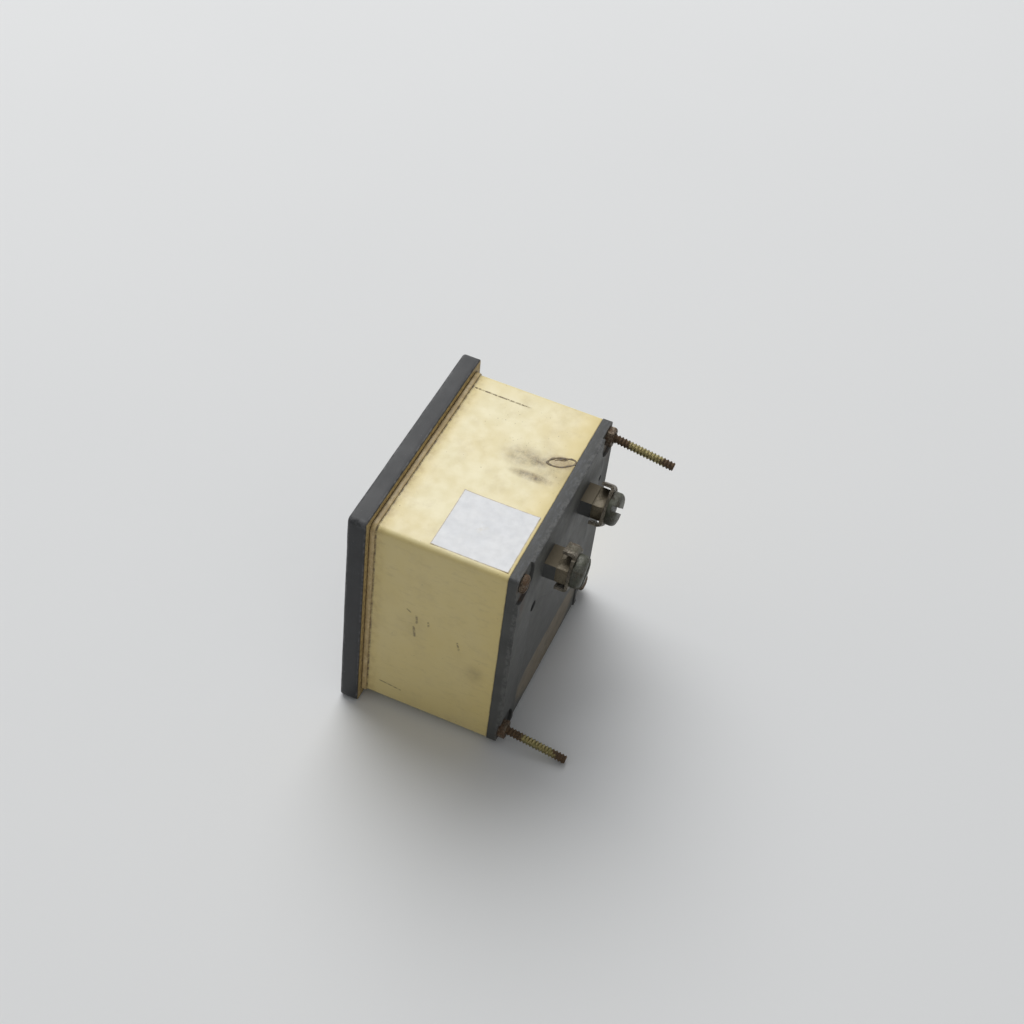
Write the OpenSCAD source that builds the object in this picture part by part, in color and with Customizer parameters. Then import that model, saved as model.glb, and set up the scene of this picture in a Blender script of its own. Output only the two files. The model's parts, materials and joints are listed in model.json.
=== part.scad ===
// Square analog panel meter with a moving-coil movement.
// The front faces -Y, the terminals face +Y and +Z is up.
// The origin is the middle of the bezel's rear face, which seats on the panel.

/* [Bezel] */
// Width and height of the square front bezel
bezel_w = 80; // [78:0.5:90]
// Thickness of the bezel in front of the panel
bezel_t = 6; // [5.5:0.1:8]
// Radius of the bezel's four corners
bezel_corner_r = 1.6; // [0.8:0.1:3]
// Width of the bevel round the bezel's front face
bezel_bevel = 1; // [0.4:0.1:1.5]
// Thickness of the bezel's front wall round the window
lip_t = 2; // [1.6:0.1:2.4]
// Width of the bezel beside the window
window_side = 8; // [7.5:0.1:11]
// Height of the bezel above the window
window_above = 12; // [11.5:0.1:14]
// Height of the window's lower edge above the pointer's axis
window_up = 10; // [9:0.5:12]
// Thickness of the glass
glass_t = 1.5; // [1:0.1:2]
// Overlap of the glass behind the window's edge
glass_lap = 1.4; // [1:0.1:1.6]

/* [Case] */
// Overhang of the bezel beyond each side of the case
overhang = 3.1; // [2:0.1:3.5]
// Depth from the panel seat to the case's rear edge
case_d = 42.2; // [41.5:0.1:50]
// Wall thickness of the case
case_wall = 2; // [1.4:0.1:2.4]
// Radius of the case's long outer edges
case_edge_r = 1.8; // [1:0.1:2.5]
// Width of the square posts in the case's inner corners
post_w = 8; // [7:0.1:8.4]
// Distance that the front collar stands out from the case
collar_lap = 0.5; // [0.2:0.1:0.8]
// Length of the front collar
collar_d = 1.7; // [1:0.1:2.5]
// Thickness of the sealing strip between bezel and case
seal_t = 0.4; // [0.2:0.1:0.6]

/* [Rear plate] */
// Thickness of the rear plate at its corners
plate_t = 3; // [2.4:0.1:4]
// Height of the raised middle of the rear plate
pad_t = 1; // [0.6:0.1:1.6]
// Diameter of the round seats for the corner fastenings
seat_d = 13; // [9:0.1:14]
// Distance of each end of the lower recess from the plate's side
recess_side = 11.4; // [10.6:0.1:16]
// Height of the shallow recess at the plate's lower edge
recess_h = 16.9; // [12:0.1:20]
// Depth of the shallow recess
recess_d = 0.5; // [0.3:0.1:0.9]
// Depth of the plug that centres the rear plate in the case
plug_d = 2; // [1.4:0.1:2.6]
// Radius of the rear plate's outer corners
plate_corner_r = 1.2; // [0.6:0.1:2]

/* [Studs and screws] */
// Distance of the corner fastenings from the case's sides
corner_in = 3.5; // [3.3:0.1:3.9]
// Diameter of the mounting studs
stud_d = 3; // [2.5:0.1:3.2]
// Length of the free end of each mounting stud
stud_free = 19.4; // [12:0.2:30]
// Angle by which the free ends are bent down
stud_bend = 9; // [0:0.5:12]
// Width across flats of the stud nuts
nut_af = 5.5; // [5:0.1:6]
// Thickness of the stud nuts
nut_t = 2.2; // [1.6:0.1:2.6]
// Diameter of the case screws' heads
case_head_d = 5.6; // [4.6:0.1:6]
// Height of the case screws' heads
case_head_t = 1.8; // [1.2:0.1:2.2]

/* [Terminals] */
// Distance of each terminal from the case's side
terminal_side = 22.8; // [22.3:0.1:24.3]
// Distance of the terminals from the case's top
terminal_down = 12.4; // [12:0.1:13.4]
// Width of the terminal posts
post_x = 8.5; // [7:0.1:9]
// Height of the terminal posts
post_z = 5.8; // [5.6:0.1:7]
// Distance of the terminal posts' outer faces behind the plate
post_len = 7.4; // [6.4:0.1:9]
// Length of the moulded foot of each terminal post
boss_len = 3.8; // [2.5:0.1:4.4]
// Diameter of the terminal screws' heads
head_d = 10.4; // [9:0.1:11]
// Height of the terminal screws' heads
head_t = 3.4; // [2.6:0.1:3.8]
// Thickness of the clamp washers
clamp_t = 1; // [0.7:0.1:1.4]
// Turn of the left clamp washer's ears from upright
clamp_turn_left = -42; // [-60:1:60]
// Turn of the right clamp washer's ears from upright
clamp_turn_right = -16; // [-60:1:60]

/* [Movement] */
// Height of the pointer's axis above the case's underside
axis_up = 17.9; // [17.4:0.1:18.4]
// Diameter of the magnet core
core_d = 14; // [12:0.1:14.2]
// Free depth between the yoke and the case's rear edge
core_clear = 14.2; // [14.2:0.1:16.2]
// Radial air gap between core and yoke
air_gap = 2.2; // [2.1:0.05:2.4]
// Outer diameter of the yoke ring
yoke_d = 26; // [24.5:0.1:27]
// Distance of the front of the core behind the panel seat
core_y = 14; // [13.8:0.1:14.5]
// Distance between the two screws that tie the movement together
tie_pitch = 32; // [31:0.2:34]
// Length of the pointer from its axis
pointer_len = 39; // [34:0.2:41]
// Angle through which the pointer swings across the dial
sweep = 90; // [70:1:94]

/* [Dial] */
// Distance of the dial behind the panel seat
dial_y = 3; // [2.8:0.1:3.2]
// Thickness of the dial plate
dial_t = 0.8; // [0.5:0.1:1]
// Gap between the dial plate and the case's outer sides
dial_side = 3.9; // [2.9:0.1:4.6]
// Distance of each dial screw from the case's side
dial_screw_in = 7.9; // [6.9:0.1:9.9]

/* [Zero adjuster] */
// Distance from the pointer's axis to the adjuster's pin
lever_len = 10; // [9.4:0.1:10.6]
// Offset of the adjuster's pin from its own axis
pin_offset = 1.5; // [1:0.1:1.8]
// Diameter of the adjuster's slotted head
adjuster_d = 7; // [5.5:0.1:8]

/* [Label] */
// Length of each side of the blank label
label_w = 24; // [15:0.5:24]

/* [Hidden] */
$fn = 48;

// Clearances: between parts that are fixed together, and between parts that turn
fit = 0.1;
run = 0.05;
slack = 0.3;
eps = 0.01;

// Case and rear plate
case_w = bezel_w - 2 * overhang;
case_in = case_w - 2 * case_wall;
post_in = case_w / 2 - post_w;
corner_pitch = case_w / 2 - corner_in;
plate_y = case_d;
ledge_y = plate_y + plate_t;
pad_y = ledge_y + pad_t;
bore_d = stud_d + 2 * run;
nut_y = ledge_y + nut_t;
stud_seat = 3;
bend_r = 4;
bend_lap = 0.1;
bend_swell = 0.04;
case_screw_len = 22;
gauge_d = 2;
gauge_side = 7.6;
gauge_down = 17.6;
label_gap = 0.8;
label_t = 0.15;
recess_w = case_w - 2 * recess_side;
recess_r = 1.5;

// Bezel
pocket_w = case_in + 1.2;
rebate_w = case_w + 2 * collar_lap + 2 * fit;
glass_y = -bezel_t + lip_t;
bezel_post = 5.4;
axis_z = axis_up - case_w / 2;
window_w = bezel_w - 2 * window_side;
window_bottom = axis_z + window_up;
window_top = bezel_w / 2 - window_above;

// Movement, from front to rear
core_len = case_d - core_y - core_clear;
yoke_in_r = core_d / 2 + air_gap;
bracket_t = 0.8;
bridge_y = 6.5;
bridge_t = 1.5;
bridge_h = 6;
former_t = 0.4;
winding_t = 0.8;
former_w = 4;
winding_w = 3.4;
former_r = core_d / 2 + 0.5;
former_y0 = core_y - bracket_t - 0.6;
former_y1 = core_y + core_len + bracket_t + 0.6;
winding_y0 = former_y0 - former_t - winding_t;
winding_y1 = former_y1 + former_t + winding_t;
rear_stack = 7.4;
chassis_y = core_y + core_len + rear_stack;
chassis_t = 1.6;
tie_d = 2.5;
tie_head_d = 4.6;
tie_head_t = 1.2;
staff_d = 1.2;
tip_d = 0.6;
tip_len = 0.8;
jewel_d = 3;
jewel_y = bridge_y + bridge_t + 0.4;
rear_jewel_y = chassis_y - 0.4;
hub_y0 = jewel_y + 0.4;
hub_t = 1.1;
spring_t = 0.5;
spring_r = 5.5;
front_spring_y = winding_y0 - 0.3 - spring_t;
rear_spring_y = winding_y1 + 0.5;
crank_r = 7.2;
pointer_y = 0.6;
pointer_t = 0.6;
notch_r = 10;
lever_y = 5.15;
lever_t = 1.1;
adjuster_z = axis_z - lever_len + pin_offset;
pin_d = 1.2;

// The two screws that hold the chassis to posts on the rear plate, and the chassis's outline round them
chassis_screw_x = case_w / 2 - 14.6;
chassis_screw_z = case_w / 2 - 24.3;
chassis_screw_d = 2;
chassis_screw_len = 6;
chassis_head_d = 3.4;
chassis_head_t = 1.6;
chassis_post_d = 7;
chassis_margin = 4.4;
chassis_top = chassis_screw_z + chassis_margin;
chassis_bottom = axis_z - 14;

// Electrical parts
terminal_x = case_w / 2 - terminal_side;
terminal_z = case_w / 2 - terminal_down;
stem_d = 5;
stem_len = 4;
terminal_screw_d = 4;
terminal_nut_af = 7;
terminal_nut_t = 2.4;
lug_d = 8;
lug_t = 0.5;
lug_hole = 6.6;
shunt_d = 5;
shunt_cap_d = 6;
shunt_cap_t = 2;
shunt_len = 2 * (terminal_x - 5.1);
shunt_lead_d = 0.8;
shunt_y = case_d - 6.7;
shunt_z = terminal_z + lug_hole;
wire_d = 1;
wire_y = plate_y - 3.5;
wire_side = chassis_screw_x - (chassis_post_d + wire_d) / 2 - slack - terminal_x;
wire_end_z = chassis_screw_z - 5.6;
spring_post_r = 6.5;
weight_r = 5.6;
tail_weight_d = 3.8;

// Dial
dial_w = case_w - 2 * dial_side;
dial_bottom = axis_z - 6;
dial_top = case_w / 2 - post_w - slack;
dial_screw_x = case_w / 2 - dial_screw_in;
dial_screw_z = axis_z + 16;
dial_screw_d = 1.6;
dial_screw_len = 5;
dial_head_d = 3;
dial_head_t = 0.9;
pillar_d = 4;
stop_r = 31;
stop_angle = sweep / 2 + 5;

// Flat square with round corners, made of straight and round pieces
module round_square(w, r) {
    square([w - 2 * r, w], center = true);
    square([w, w - 2 * r], center = true);
    for (x = [-1, 1], z = [-1, 1])
        translate([x * (w / 2 - r), z * (w / 2 - r)]) circle(r);
}

// Extrudes a profile drawn in x and z along +Y, from y0 to y1
module along_y(y0, y1) {
    translate([0, y1, 0]) rotate([90, 0, 0]) linear_extrude(y1 - y0) children();
}

// Round bar along +Y
module bar_y(d, y0, y1, x = 0, z = 0) {
    translate([x, y1, z]) rotate([90, 0, 0]) cylinder(d = d, h = y1 - y0);
}

// Block between two corners
module block(x0, x1, y0, y1, z0, z1) {
    translate([x0, y0, z0]) cube([x1 - x0, y1 - y0, z1 - z0]);
}

// Hexagon prism along +Y, with two flats level
module hex_y(af, y0, y1, x = 0, z = 0) {
    translate([x, y1, z]) rotate([90, 30, 0]) cylinder(d = af / cos(30), h = y1 - y0, $fn = 6);
}

// Places something at all four corner fastenings
module at_corners() {
    for (x = [-1, 1], z = [-1, 1]) translate([x * corner_pitch, 0, z * corner_pitch]) children();
}

// Turns the moving system about its axis from mid-scale to the zero mark
module at_zero() {
    translate([0, 0, axis_z]) rotate([0, -sweep / 2, 0]) children();
}

module front_bezel() {
    color("#2f3236") difference() {
        union() {
            along_y(-bezel_t + bezel_bevel, 0) round_square(bezel_w, bezel_corner_r);
            along_y(-bezel_t, -bezel_t + bezel_bevel + eps)
                round_square(bezel_w - bezel_bevel, bezel_corner_r);
        }
        // Window, and the pocket behind the front wall
        block(-window_w / 2, window_w / 2, -bezel_t - 1, 0, window_bottom, window_top);
        difference() {
            block(-pocket_w / 2, pocket_w / 2, glass_y, 1, -pocket_w / 2, pocket_w / 2);
            for (x = [-1, 1], z = [-1, 1])
                translate([x * (pocket_w - bezel_post) / 2, glass_y / 2, z * (pocket_w - bezel_post) / 2])
                    cube([bezel_post, bezel_t, bezel_post], center = true);
        }
        at_corners() bar_y(bore_d, -stud_seat - fit, 1);
        bar_y(4 + 2 * run, -bezel_t - 1, 0, 0, adjuster_z);
        // Shallow rebate that takes the seal and the case's front edge
        along_y(-seal_t, 1) round_square(rebate_w, case_edge_r + collar_lap);
    }
}

module window_glass() {
    color([0.8, 0.88, 0.88, 0.35])
        block(-window_w / 2 - glass_lap, window_w / 2 + glass_lap, glass_y, glass_y + glass_t,
            window_bottom - glass_lap, window_top + glass_lap);
}

module seal_strip() {
    color("#6b5638") difference() {
        along_y(-seal_t, 0) round_square(case_w + 2 * collar_lap, case_edge_r + collar_lap);
        along_y(-1, 1) square(pocket_w, center = true);
        at_corners() bar_y(bore_d + fit, -1, 1);
    }
}

module case_shell() {
    color("#e8dca6") difference() {
        union() {
            along_y(0, case_d) round_square(case_w, case_edge_r);
            along_y(0, collar_d) round_square(case_w + 2 * collar_lap, case_edge_r + collar_lap);
        }
        difference() {
            block(-case_in / 2, case_in / 2, -1, case_d + 1, -case_in / 2, case_in / 2);
            for (x = [-1, 1], z = [-1, 1])
                translate([x * (case_w - post_w) / 2, case_d / 2, z * (case_w - post_w) / 2])
                    cube([post_w, case_d + 4, post_w], center = true);
        }
        at_corners() bar_y(bore_d, -1, case_d + 1);
    }
}

// Cross-shaped outline that clears the four corner posts
module plug_outline() {
    square([case_in - 2 * fit, 2 * (post_in - fit)], center = true);
    square([2 * (post_in - fit), case_in - 2 * fit], center = true);
}

module rear_plate() {
    color("#4a4b49") difference() {
        union() {
            along_y(plate_y, ledge_y) round_square(case_w, plate_corner_r);
            along_y(plate_y - plug_d, plate_y + eps) difference() {
                plug_outline();
                square(case_in - 8, center = true);
            }
            // Raised middle, cut back round the corner fastenings
            along_y(ledge_y - eps, pad_y) difference() {
                round_square(case_w, plate_corner_r);
                for (x = [-1, 1], z = [-1, 1])
                    translate([x * corner_pitch, z * corner_pitch]) circle(d = seat_d);
            }
            // Posts that carry the movement's chassis
            for (x = [-1, 1])
                bar_y(chassis_post_d, chassis_y + chassis_t, plate_y + eps, x * chassis_screw_x, chassis_screw_z);
            // Moulded feet of the terminal posts
            for (x = [-1, 1])
                translate([x * terminal_x, pad_y + boss_len / 2 - eps, terminal_z])
                    cube([post_x, boss_len + 2 * eps, post_z], center = true);
        }
        // Shallow recess with round corners, open at the plate's lower edge
        along_y(pad_y - recess_d, pad_y + 1) translate([0, -case_w / 2]) {
            square([recess_w, 2 * (recess_h - recess_r)], center = true);
            square([recess_w - 2 * recess_r, 2 * recess_h], center = true);
            for (x = [-1, 1]) translate([x * (recess_w / 2 - recess_r), recess_h - recess_r]) circle(recess_r);
        }
        at_corners() bar_y(bore_d, plate_y - 1, pad_y + 1);
        for (x = [-1, 1]) {
            bar_y(stem_d + 2 * run, plate_y - 1, pad_y + boss_len + 1, x * terminal_x, terminal_z);
            bar_y(chassis_head_d + 2 * fit, plate_y - 2, pad_y + 1, x * chassis_screw_x, chassis_screw_z);
            bar_y(2.1, chassis_y, plate_y, x * chassis_screw_x, chassis_screw_z);
        }
        // Small gauge hole near the edge
        bar_y(gauge_d, ledge_y - 1, pad_y + 1, gauge_side - case_w / 2, case_w / 2 - gauge_down);
    }
}

module blank_label() {
    color("#dfe3ea")
        block(case_w / 2 - case_edge_r - label_w, case_w / 2 - case_edge_r, case_d - label_w - label_gap,
            case_d - label_gap, case_w / 2, case_w / 2 + label_t);
}

// Long tie stud: straight through case and plate, bent down just behind its nut.
// The bend is a hair thicker than the bar, and the bars reach into it.
module mounting_stud(x, z) {
    color("#a08a3c") translate([x * corner_pitch, 0, z * corner_pitch]) {
        bar_y(stud_d, -stud_seat, nut_y + bend_lap);
        translate([0, nut_y, -bend_r]) rotate([0, -90, 0])
            rotate_extrude(angle = stud_bend) translate([bend_r, 0]) circle(d = stud_d + bend_swell);
        translate([0, nut_y + bend_r * sin(stud_bend), -bend_r + bend_r * cos(stud_bend)])
            rotate([-90 - stud_bend, 0, 0]) translate([0, 0, -bend_lap])
                cylinder(d = stud_d, h = stud_free + bend_lap);
    }
}

module upper_mounting_stud() { mounting_stud(-1, 1); }
module lower_mounting_stud() { mounting_stud(1, -1); }

module stud_nut(x, z) {
    color("#5a4030") difference() {
        hex_y(nut_af, ledge_y, nut_y, x * corner_pitch, z * corner_pitch);
        bar_y(stud_d + fit, ledge_y - 1, nut_y + 1, x * corner_pitch, z * corner_pitch);
    }
}

module upper_stud_nut() { stud_nut(-1, 1); }
module lower_stud_nut() { stud_nut(1, -1); }

// Slotted cheese-head screw along -Y, with its head's underside at seat_y
module slotted_screw(d, len, head_d, head_t, slot_w, turn) {
    bar_y(d, -len, eps);
    difference() {
        bar_y(head_d, 0, head_t);
        translate([0, head_t, 0]) rotate([0, turn, 0]) cube([head_d + 1, head_t, slot_w], center = true);
    }
}

module case_screw(x, z) {
    color("#6a4a30") translate([x * corner_pitch, ledge_y, z * corner_pitch])
        slotted_screw(stud_d, case_screw_len, case_head_d, case_head_t, 0.9, 20);
}

module upper_case_screw() { case_screw(1, 1); }
module lower_case_screw() { case_screw(-1, -1); }

// Metal block on the moulded foot, with a round stem through the rear plate
module terminal_post(x) {
    color("#8d8065") translate([x * terminal_x, 0, terminal_z]) difference() {
        union() {
            translate([0, pad_y + (boss_len + post_len) / 2, 0])
                cube([post_x, post_len - boss_len, post_z], center = true);
            bar_y(stem_d, plate_y - plug_d - stem_len, pad_y + boss_len + eps);
        }
        bar_y(terminal_screw_d + 2 * run, pad_y - 4, pad_y + post_len + 1);
    }
}

module terminal_post_left() { terminal_post(-1); }
module terminal_post_right() { terminal_post(1); }

// Flat washer with an ear turned forward at each end
module clamp_washer(x, turn) {
    seat = pad_y + post_len;
    ear_r = 1.6;
    ear_len = 2.6;
    half = head_d / 2 - 0.2;
    color("#7d745f") translate([x * terminal_x, seat, terminal_z]) rotate([0, turn, 0]) difference() {
        union() {
            translate([0, clamp_t / 2, 0]) cube([head_d - 2, clamp_t, 2 * half], center = true);
            for (s = [0, 1]) mirror([0, 0, s])
                translate([-3, 0, half]) rotate([90, 0, 90]) linear_extrude(6) {
                    translate([clamp_t - ear_r, 0]) intersection() {
                        difference() {
                            circle(ear_r);
                            circle(ear_r - clamp_t);
                        }
                        square(2 * ear_r);
                    }
                    translate([clamp_t - ear_r - ear_len, ear_r - clamp_t]) square([ear_len + eps, clamp_t]);
                }
        }
        bar_y(terminal_screw_d + 2 * fit, -1, clamp_t + 1);
    }
}

module clamp_washer_left() { clamp_washer(-1, clamp_turn_left); }
module clamp_washer_right() { clamp_washer(1, clamp_turn_right); }

module terminal_screw(x, turn) {
    seat = pad_y + post_len + clamp_t;
    color("#5c6152") translate([x * terminal_x, seat, terminal_z]) {
        bar_y(terminal_screw_d, -post_len - clamp_t - 2, eps);
        difference() {
            union() {
                bar_y(head_d, 0, head_t - 1);
                translate([0, head_t - 1, 0]) rotate([-90, 0, 0])
                    cylinder(d1 = head_d, d2 = head_d - 2, h = 1);
            }
            translate([0, head_t, 0]) rotate([0, turn, 0]) cube([head_d + 1, 3.2, 1.3], center = true);
        }
    }
}

module terminal_screw_left() { terminal_screw(-1, 8); }
module terminal_screw_right() { terminal_screw(1, 62); }

module terminal_nut(x) {
    rear = plate_y;
    color("#8d8065") difference() {
        hex_y(terminal_nut_af, rear - terminal_nut_t, rear, x * terminal_x, terminal_z);
        bar_y(stem_d + fit, rear - 3, rear + 1, x * terminal_x, terminal_z);
    }
}

module terminal_nut_left() { terminal_nut(-1); }
module terminal_nut_right() { terminal_nut(1); }

// Ring tag clamped by the inner nut, with a tail for the wire
module solder_lug(x) {
    y1 = plate_y - terminal_nut_t;
    color("#b8a878") translate([x * terminal_x, 0, terminal_z]) difference() {
        union() {
            bar_y(lug_d, y1 - lug_t, y1);
            translate([0, y1 - lug_t / 2, 5]) cube([3, lug_t, 6], center = true);
        }
        bar_y(stem_d + fit, y1 - 1, y1 + 1);
        bar_y(1.2, y1 - 1, y1 + 1, 0, lug_hole);
    }
}

module solder_lug_left() { solder_lug(-1); }
module solder_lug_right() { solder_lug(1); }

// Wire-wound shunt across the two terminals, above the nuts
module shunt_resistor() {
    color("#6d4a32") translate([0, shunt_y, shunt_z]) rotate([0, 90, 0]) {
        cylinder(d = shunt_d, h = shunt_len, center = true);
        for (s = [-1, 1]) translate([0, 0, s * (shunt_len - shunt_cap_t) / 2])
            cylinder(d = shunt_cap_d, h = shunt_cap_t, center = true);
    }
}

// Shunt wire: out of the end cap, then back through the lug's hole
module shunt_lead(x) {
    color("#b87848") {
        translate([x > 0 ? shunt_len / 2 : -terminal_x, shunt_y, shunt_z]) rotate([0, 90, 0])
            cylinder(d = shunt_lead_d, h = terminal_x - shunt_len / 2);
        translate([x * terminal_x, shunt_y, shunt_z]) sphere(d = shunt_lead_d);
        bar_y(shunt_lead_d, shunt_y, plate_y - plug_d - fit, x * terminal_x, shunt_z);
    }
}

module shunt_lead_left() { shunt_lead(-1); }
module shunt_lead_right() { shunt_lead(1); }

// Insulated wire from a lug, down beside the terminal and on behind the chassis
module hookup_wire(side, end_z) {
    wire_x = side * (terminal_x + wire_side);
    z0 = shunt_z - 0.7;
    translate([side > 0 ? terminal_x + 0.8 : wire_x, wire_y, z0]) rotate([0, 90, 0])
        cylinder(d = wire_d, h = wire_side - 0.8);
    translate([wire_x, wire_y, z0]) sphere(d = wire_d);
    translate([wire_x, wire_y, end_z]) cylinder(d = wire_d, h = z0 - end_z);
    translate([wire_x, wire_y, end_z]) sphere(d = wire_d);
}

// Goes to the insulated post of the rear hairspring
module hookup_wire_left() {
    end_z = axis_z + spring_post_r * sin(45);
    color("#7c2f28") {
        hookup_wire(-1, end_z);
        translate([-terminal_x - wire_side, wire_y, end_z]) rotate([0, 90, 0])
            cylinder(d = wire_d, h = terminal_x + wire_side - spring_post_r * cos(45) - 0.7);
    }
}

// Goes to the chassis, which feeds the front hairspring
module hookup_wire_right() {
    color("#2c3a66") {
        hookup_wire(1, wire_end_z);
        bar_y(wire_d, chassis_y + chassis_t, wire_y, terminal_x + wire_side, wire_end_z);
    }
}

// Level band of the chassis plate, from -half to half
module chassis_bar(half, z0, z1) {
    block(-half, half, chassis_y, chassis_y + chassis_t, z0, z1);
}

// Flat brass plate behind the movement, screwed to the rear plate's posts
module chassis_plate() {
    color("#a8925a") difference() {
        union() {
            chassis_bar(terminal_x + wire_side + 2, chassis_bottom, chassis_top);
            chassis_bar(chassis_screw_x + 4.2, chassis_screw_z - chassis_margin, chassis_top);
            chassis_bar(dial_screw_x + 3, dial_screw_z - 5, dial_screw_z + 5);
        }
        for (x = [-1, 1]) {
            bar_y(tie_d + fit, chassis_y - 1, chassis_y + 3, x * tie_pitch / 2, axis_z);
            bar_y(2.1, chassis_y - 1, chassis_y + 3, x * chassis_screw_x, chassis_screw_z);
        }
        bar_y(jewel_d + fit, chassis_y - 1, chassis_y + 3, 0, axis_z);
        bar_y(3.2, chassis_y - 1, chassis_y + 3, -spring_post_r * cos(45), axis_z + spring_post_r * sin(45));
    }
}

// Two screws through the rear plate's pillars, with heads sunk in the plate
module chassis_screws() {
    color("#8c8c86") for (x = [-1, 1])
        translate([x * chassis_screw_x, plate_y - 2, chassis_screw_z])
            slotted_screw(chassis_screw_d, chassis_screw_len, chassis_head_d, chassis_head_t, 0.6, 70);
}

// Soft-iron ring that carries the field round the magnet, with an ear at each side
module yoke_ring() {
    color("#8f9194") translate([0, 0, axis_z]) difference() {
        union() {
            bar_y(yoke_d, core_y, core_y + core_len);
            for (x = [-1, 1])
                translate([x * (yoke_d / 2 + 1.8), core_y + core_len / 2, 0])
                    cube([8.5, core_len, 7], center = true);
        }
        bar_y(2 * yoke_in_r, core_y - 1, core_y + core_len + 1);
        for (x = [-1, 1]) bar_y(tie_d + fit, core_y - 1, core_y + core_len + 1, x * tie_pitch / 2);
    }
}

// Round magnet that stands still inside the coil
module core_magnet() {
    color("#6c6f74") bar_y(core_d, core_y, core_y + core_len, 0, axis_z);
}

// Strip across the magnet's end, clear of the space the coil sweeps
module core_bracket(y0) {
    color("#b79b57") difference() {
        translate([0, y0 + bracket_t / 2, axis_z]) cube([tie_pitch + 6, bracket_t, 4.8], center = true);
        for (x = [-1, 1]) bar_y(tie_d + fit, y0 - 1, y0 + 2, x * tie_pitch / 2, axis_z);
    }
}

module front_core_bracket() { core_bracket(core_y - bracket_t); }
module rear_core_bracket() { core_bracket(core_y + core_len); }

module spacer_pair(y0, y1) {
    color("#a8925a") for (x = [-1, 1]) difference() {
        bar_y(4.8, y0, y1, x * tie_pitch / 2, axis_z);
        bar_y(tie_d + fit, y0 - 1, y1 + 1, x * tie_pitch / 2, axis_z);
    }
}

module front_spacers() { spacer_pair(bridge_y + bridge_t, core_y - bracket_t); }
module rear_spacers() { spacer_pair(core_y + core_len + bracket_t, chassis_y); }

// Two long screws that tie bridge, brackets, yoke and chassis together
module tie_screws() {
    color("#8c8c86") for (x = [-1, 1]) translate([x * tie_pitch / 2, bridge_y, axis_z]) mirror([0, 1, 0])
        slotted_screw(tie_d, chassis_y + chassis_t + 1 - bridge_y, tie_head_d, tie_head_t, 0.7, 35);
}

// Flat bar across the front of the movement, carrying the front bearing
module front_bridge() {
    color("#b79b57") difference() {
        translate([0, bridge_y + bridge_t / 2, axis_z]) cube([tie_pitch + 7, bridge_t, bridge_h], center = true);
        for (x = [-1, 1]) bar_y(tie_d + fit, bridge_y - 1, bridge_y + 3, x * tie_pitch / 2, axis_z);
        bar_y(jewel_d + fit, bridge_y - 1, bridge_y + 3, 0, axis_z);
    }
}

// Bearing screw with a blind hole for the pivot's tip and a slot for setting it
module front_jewel_screw() {
    color("#c2a04e") translate([0, 0, axis_z]) difference() {
        union() {
            bar_y(jewel_d, lever_y - 0.1, jewel_y);
            bar_y(4.6, lever_y - 1.2, lever_y - 0.1 + eps);
        }
        bar_y(tip_d + 2 * run, jewel_y - 0.85, jewel_y + 1);
        translate([0, lever_y - 1.2, 0]) rotate([0, 30, 0]) cube([6, 1, 0.7], center = true);
    }
}

module rear_jewel_screw() {
    color("#c2a04e") translate([0, 0, axis_z]) difference() {
        bar_y(jewel_d, rear_jewel_y, chassis_y + chassis_t + 1.2);
        bar_y(tip_d + 2 * run, rear_jewel_y - 1, rear_jewel_y + 0.85);
        translate([0, chassis_y + chassis_t + 1.2, 0]) rotate([0, 15, 0]) cube([4, 1, 0.6], center = true);
    }
}

// Rectangular frame round the magnet, in line with the pointer
module coil_frame(r0, r1, y0, y1, w) {
    difference() {
        block(-w / 2, w / 2, y0 - (r1 - r0), y1 + (r1 - r0), -r1, r1);
        block(-w, w, y0, y1, -r0, r0);
    }
}

module coil_former() {
    color("#b9bcc0") at_zero() coil_frame(former_r, former_r + former_t, former_y0, former_y1, former_w);
}

module coil_winding() {
    color("#a2542c") at_zero()
        coil_frame(former_r + former_t, former_r + former_t + winding_t, former_y0 - former_t,
            former_y1 + former_t, winding_w);
}

// Stub staff on the coil's end, with a foot plate and a fine tip
module front_pivot() {
    color("#9aa0a6") at_zero() {
        bar_y(2.6, winding_y0 - 0.2, winding_y0);
        bar_y(staff_d, hub_y0, winding_y0);
        bar_y(tip_d, hub_y0 - tip_len, hub_y0 + eps);
    }
}

module rear_pivot() {
    color("#9aa0a6") at_zero() {
        bar_y(2.6, winding_y1, winding_y1 + 0.2);
        bar_y(staff_d, winding_y1, rear_jewel_y - 0.4);
        bar_y(tip_d, rear_jewel_y - 0.4 - eps, rear_jewel_y - 0.4 + tip_len);
    }
}

// Flat spiral of half rings, each drawn about one of two neighbouring centres
module spiral(r0, r1, half_turns, w) {
    step = (r1 - r0) / half_turns;
    for (i = [0:half_turns - 1])
        translate([i % 2 == 0 ? 0 : step, 0]) intersection() {
            difference() {
                circle(r0 + i * step + w / 2);
                circle(r0 + i * step - w / 2);
            }
            translate([-20, i % 2 == 0 ? 0 : -20]) square([40, 20]);
        }
}

// Hairspring: inner ring round the staff, spiral, and a straight end at its post
module hairspring(y0, turn) {
    color("#c79a4a") translate([0, 0, axis_z]) rotate([0, turn, 0]) {
        along_y(y0, y0 + spring_t) {
            difference() {
                circle(d = 2.4);
                circle(d = staff_d + 2 * run);
            }
            spiral(1.3, spring_r, 6, 0.26);
            translate([spring_r - 0.13, -0.02]) square([spring_post_r - 0.35 - spring_r + 0.13, 0.26]);
        }
    }
}

module front_hairspring() { hairspring(front_spring_y, 90); }
module rear_hairspring() { hairspring(rear_spring_y, -135); }

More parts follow.
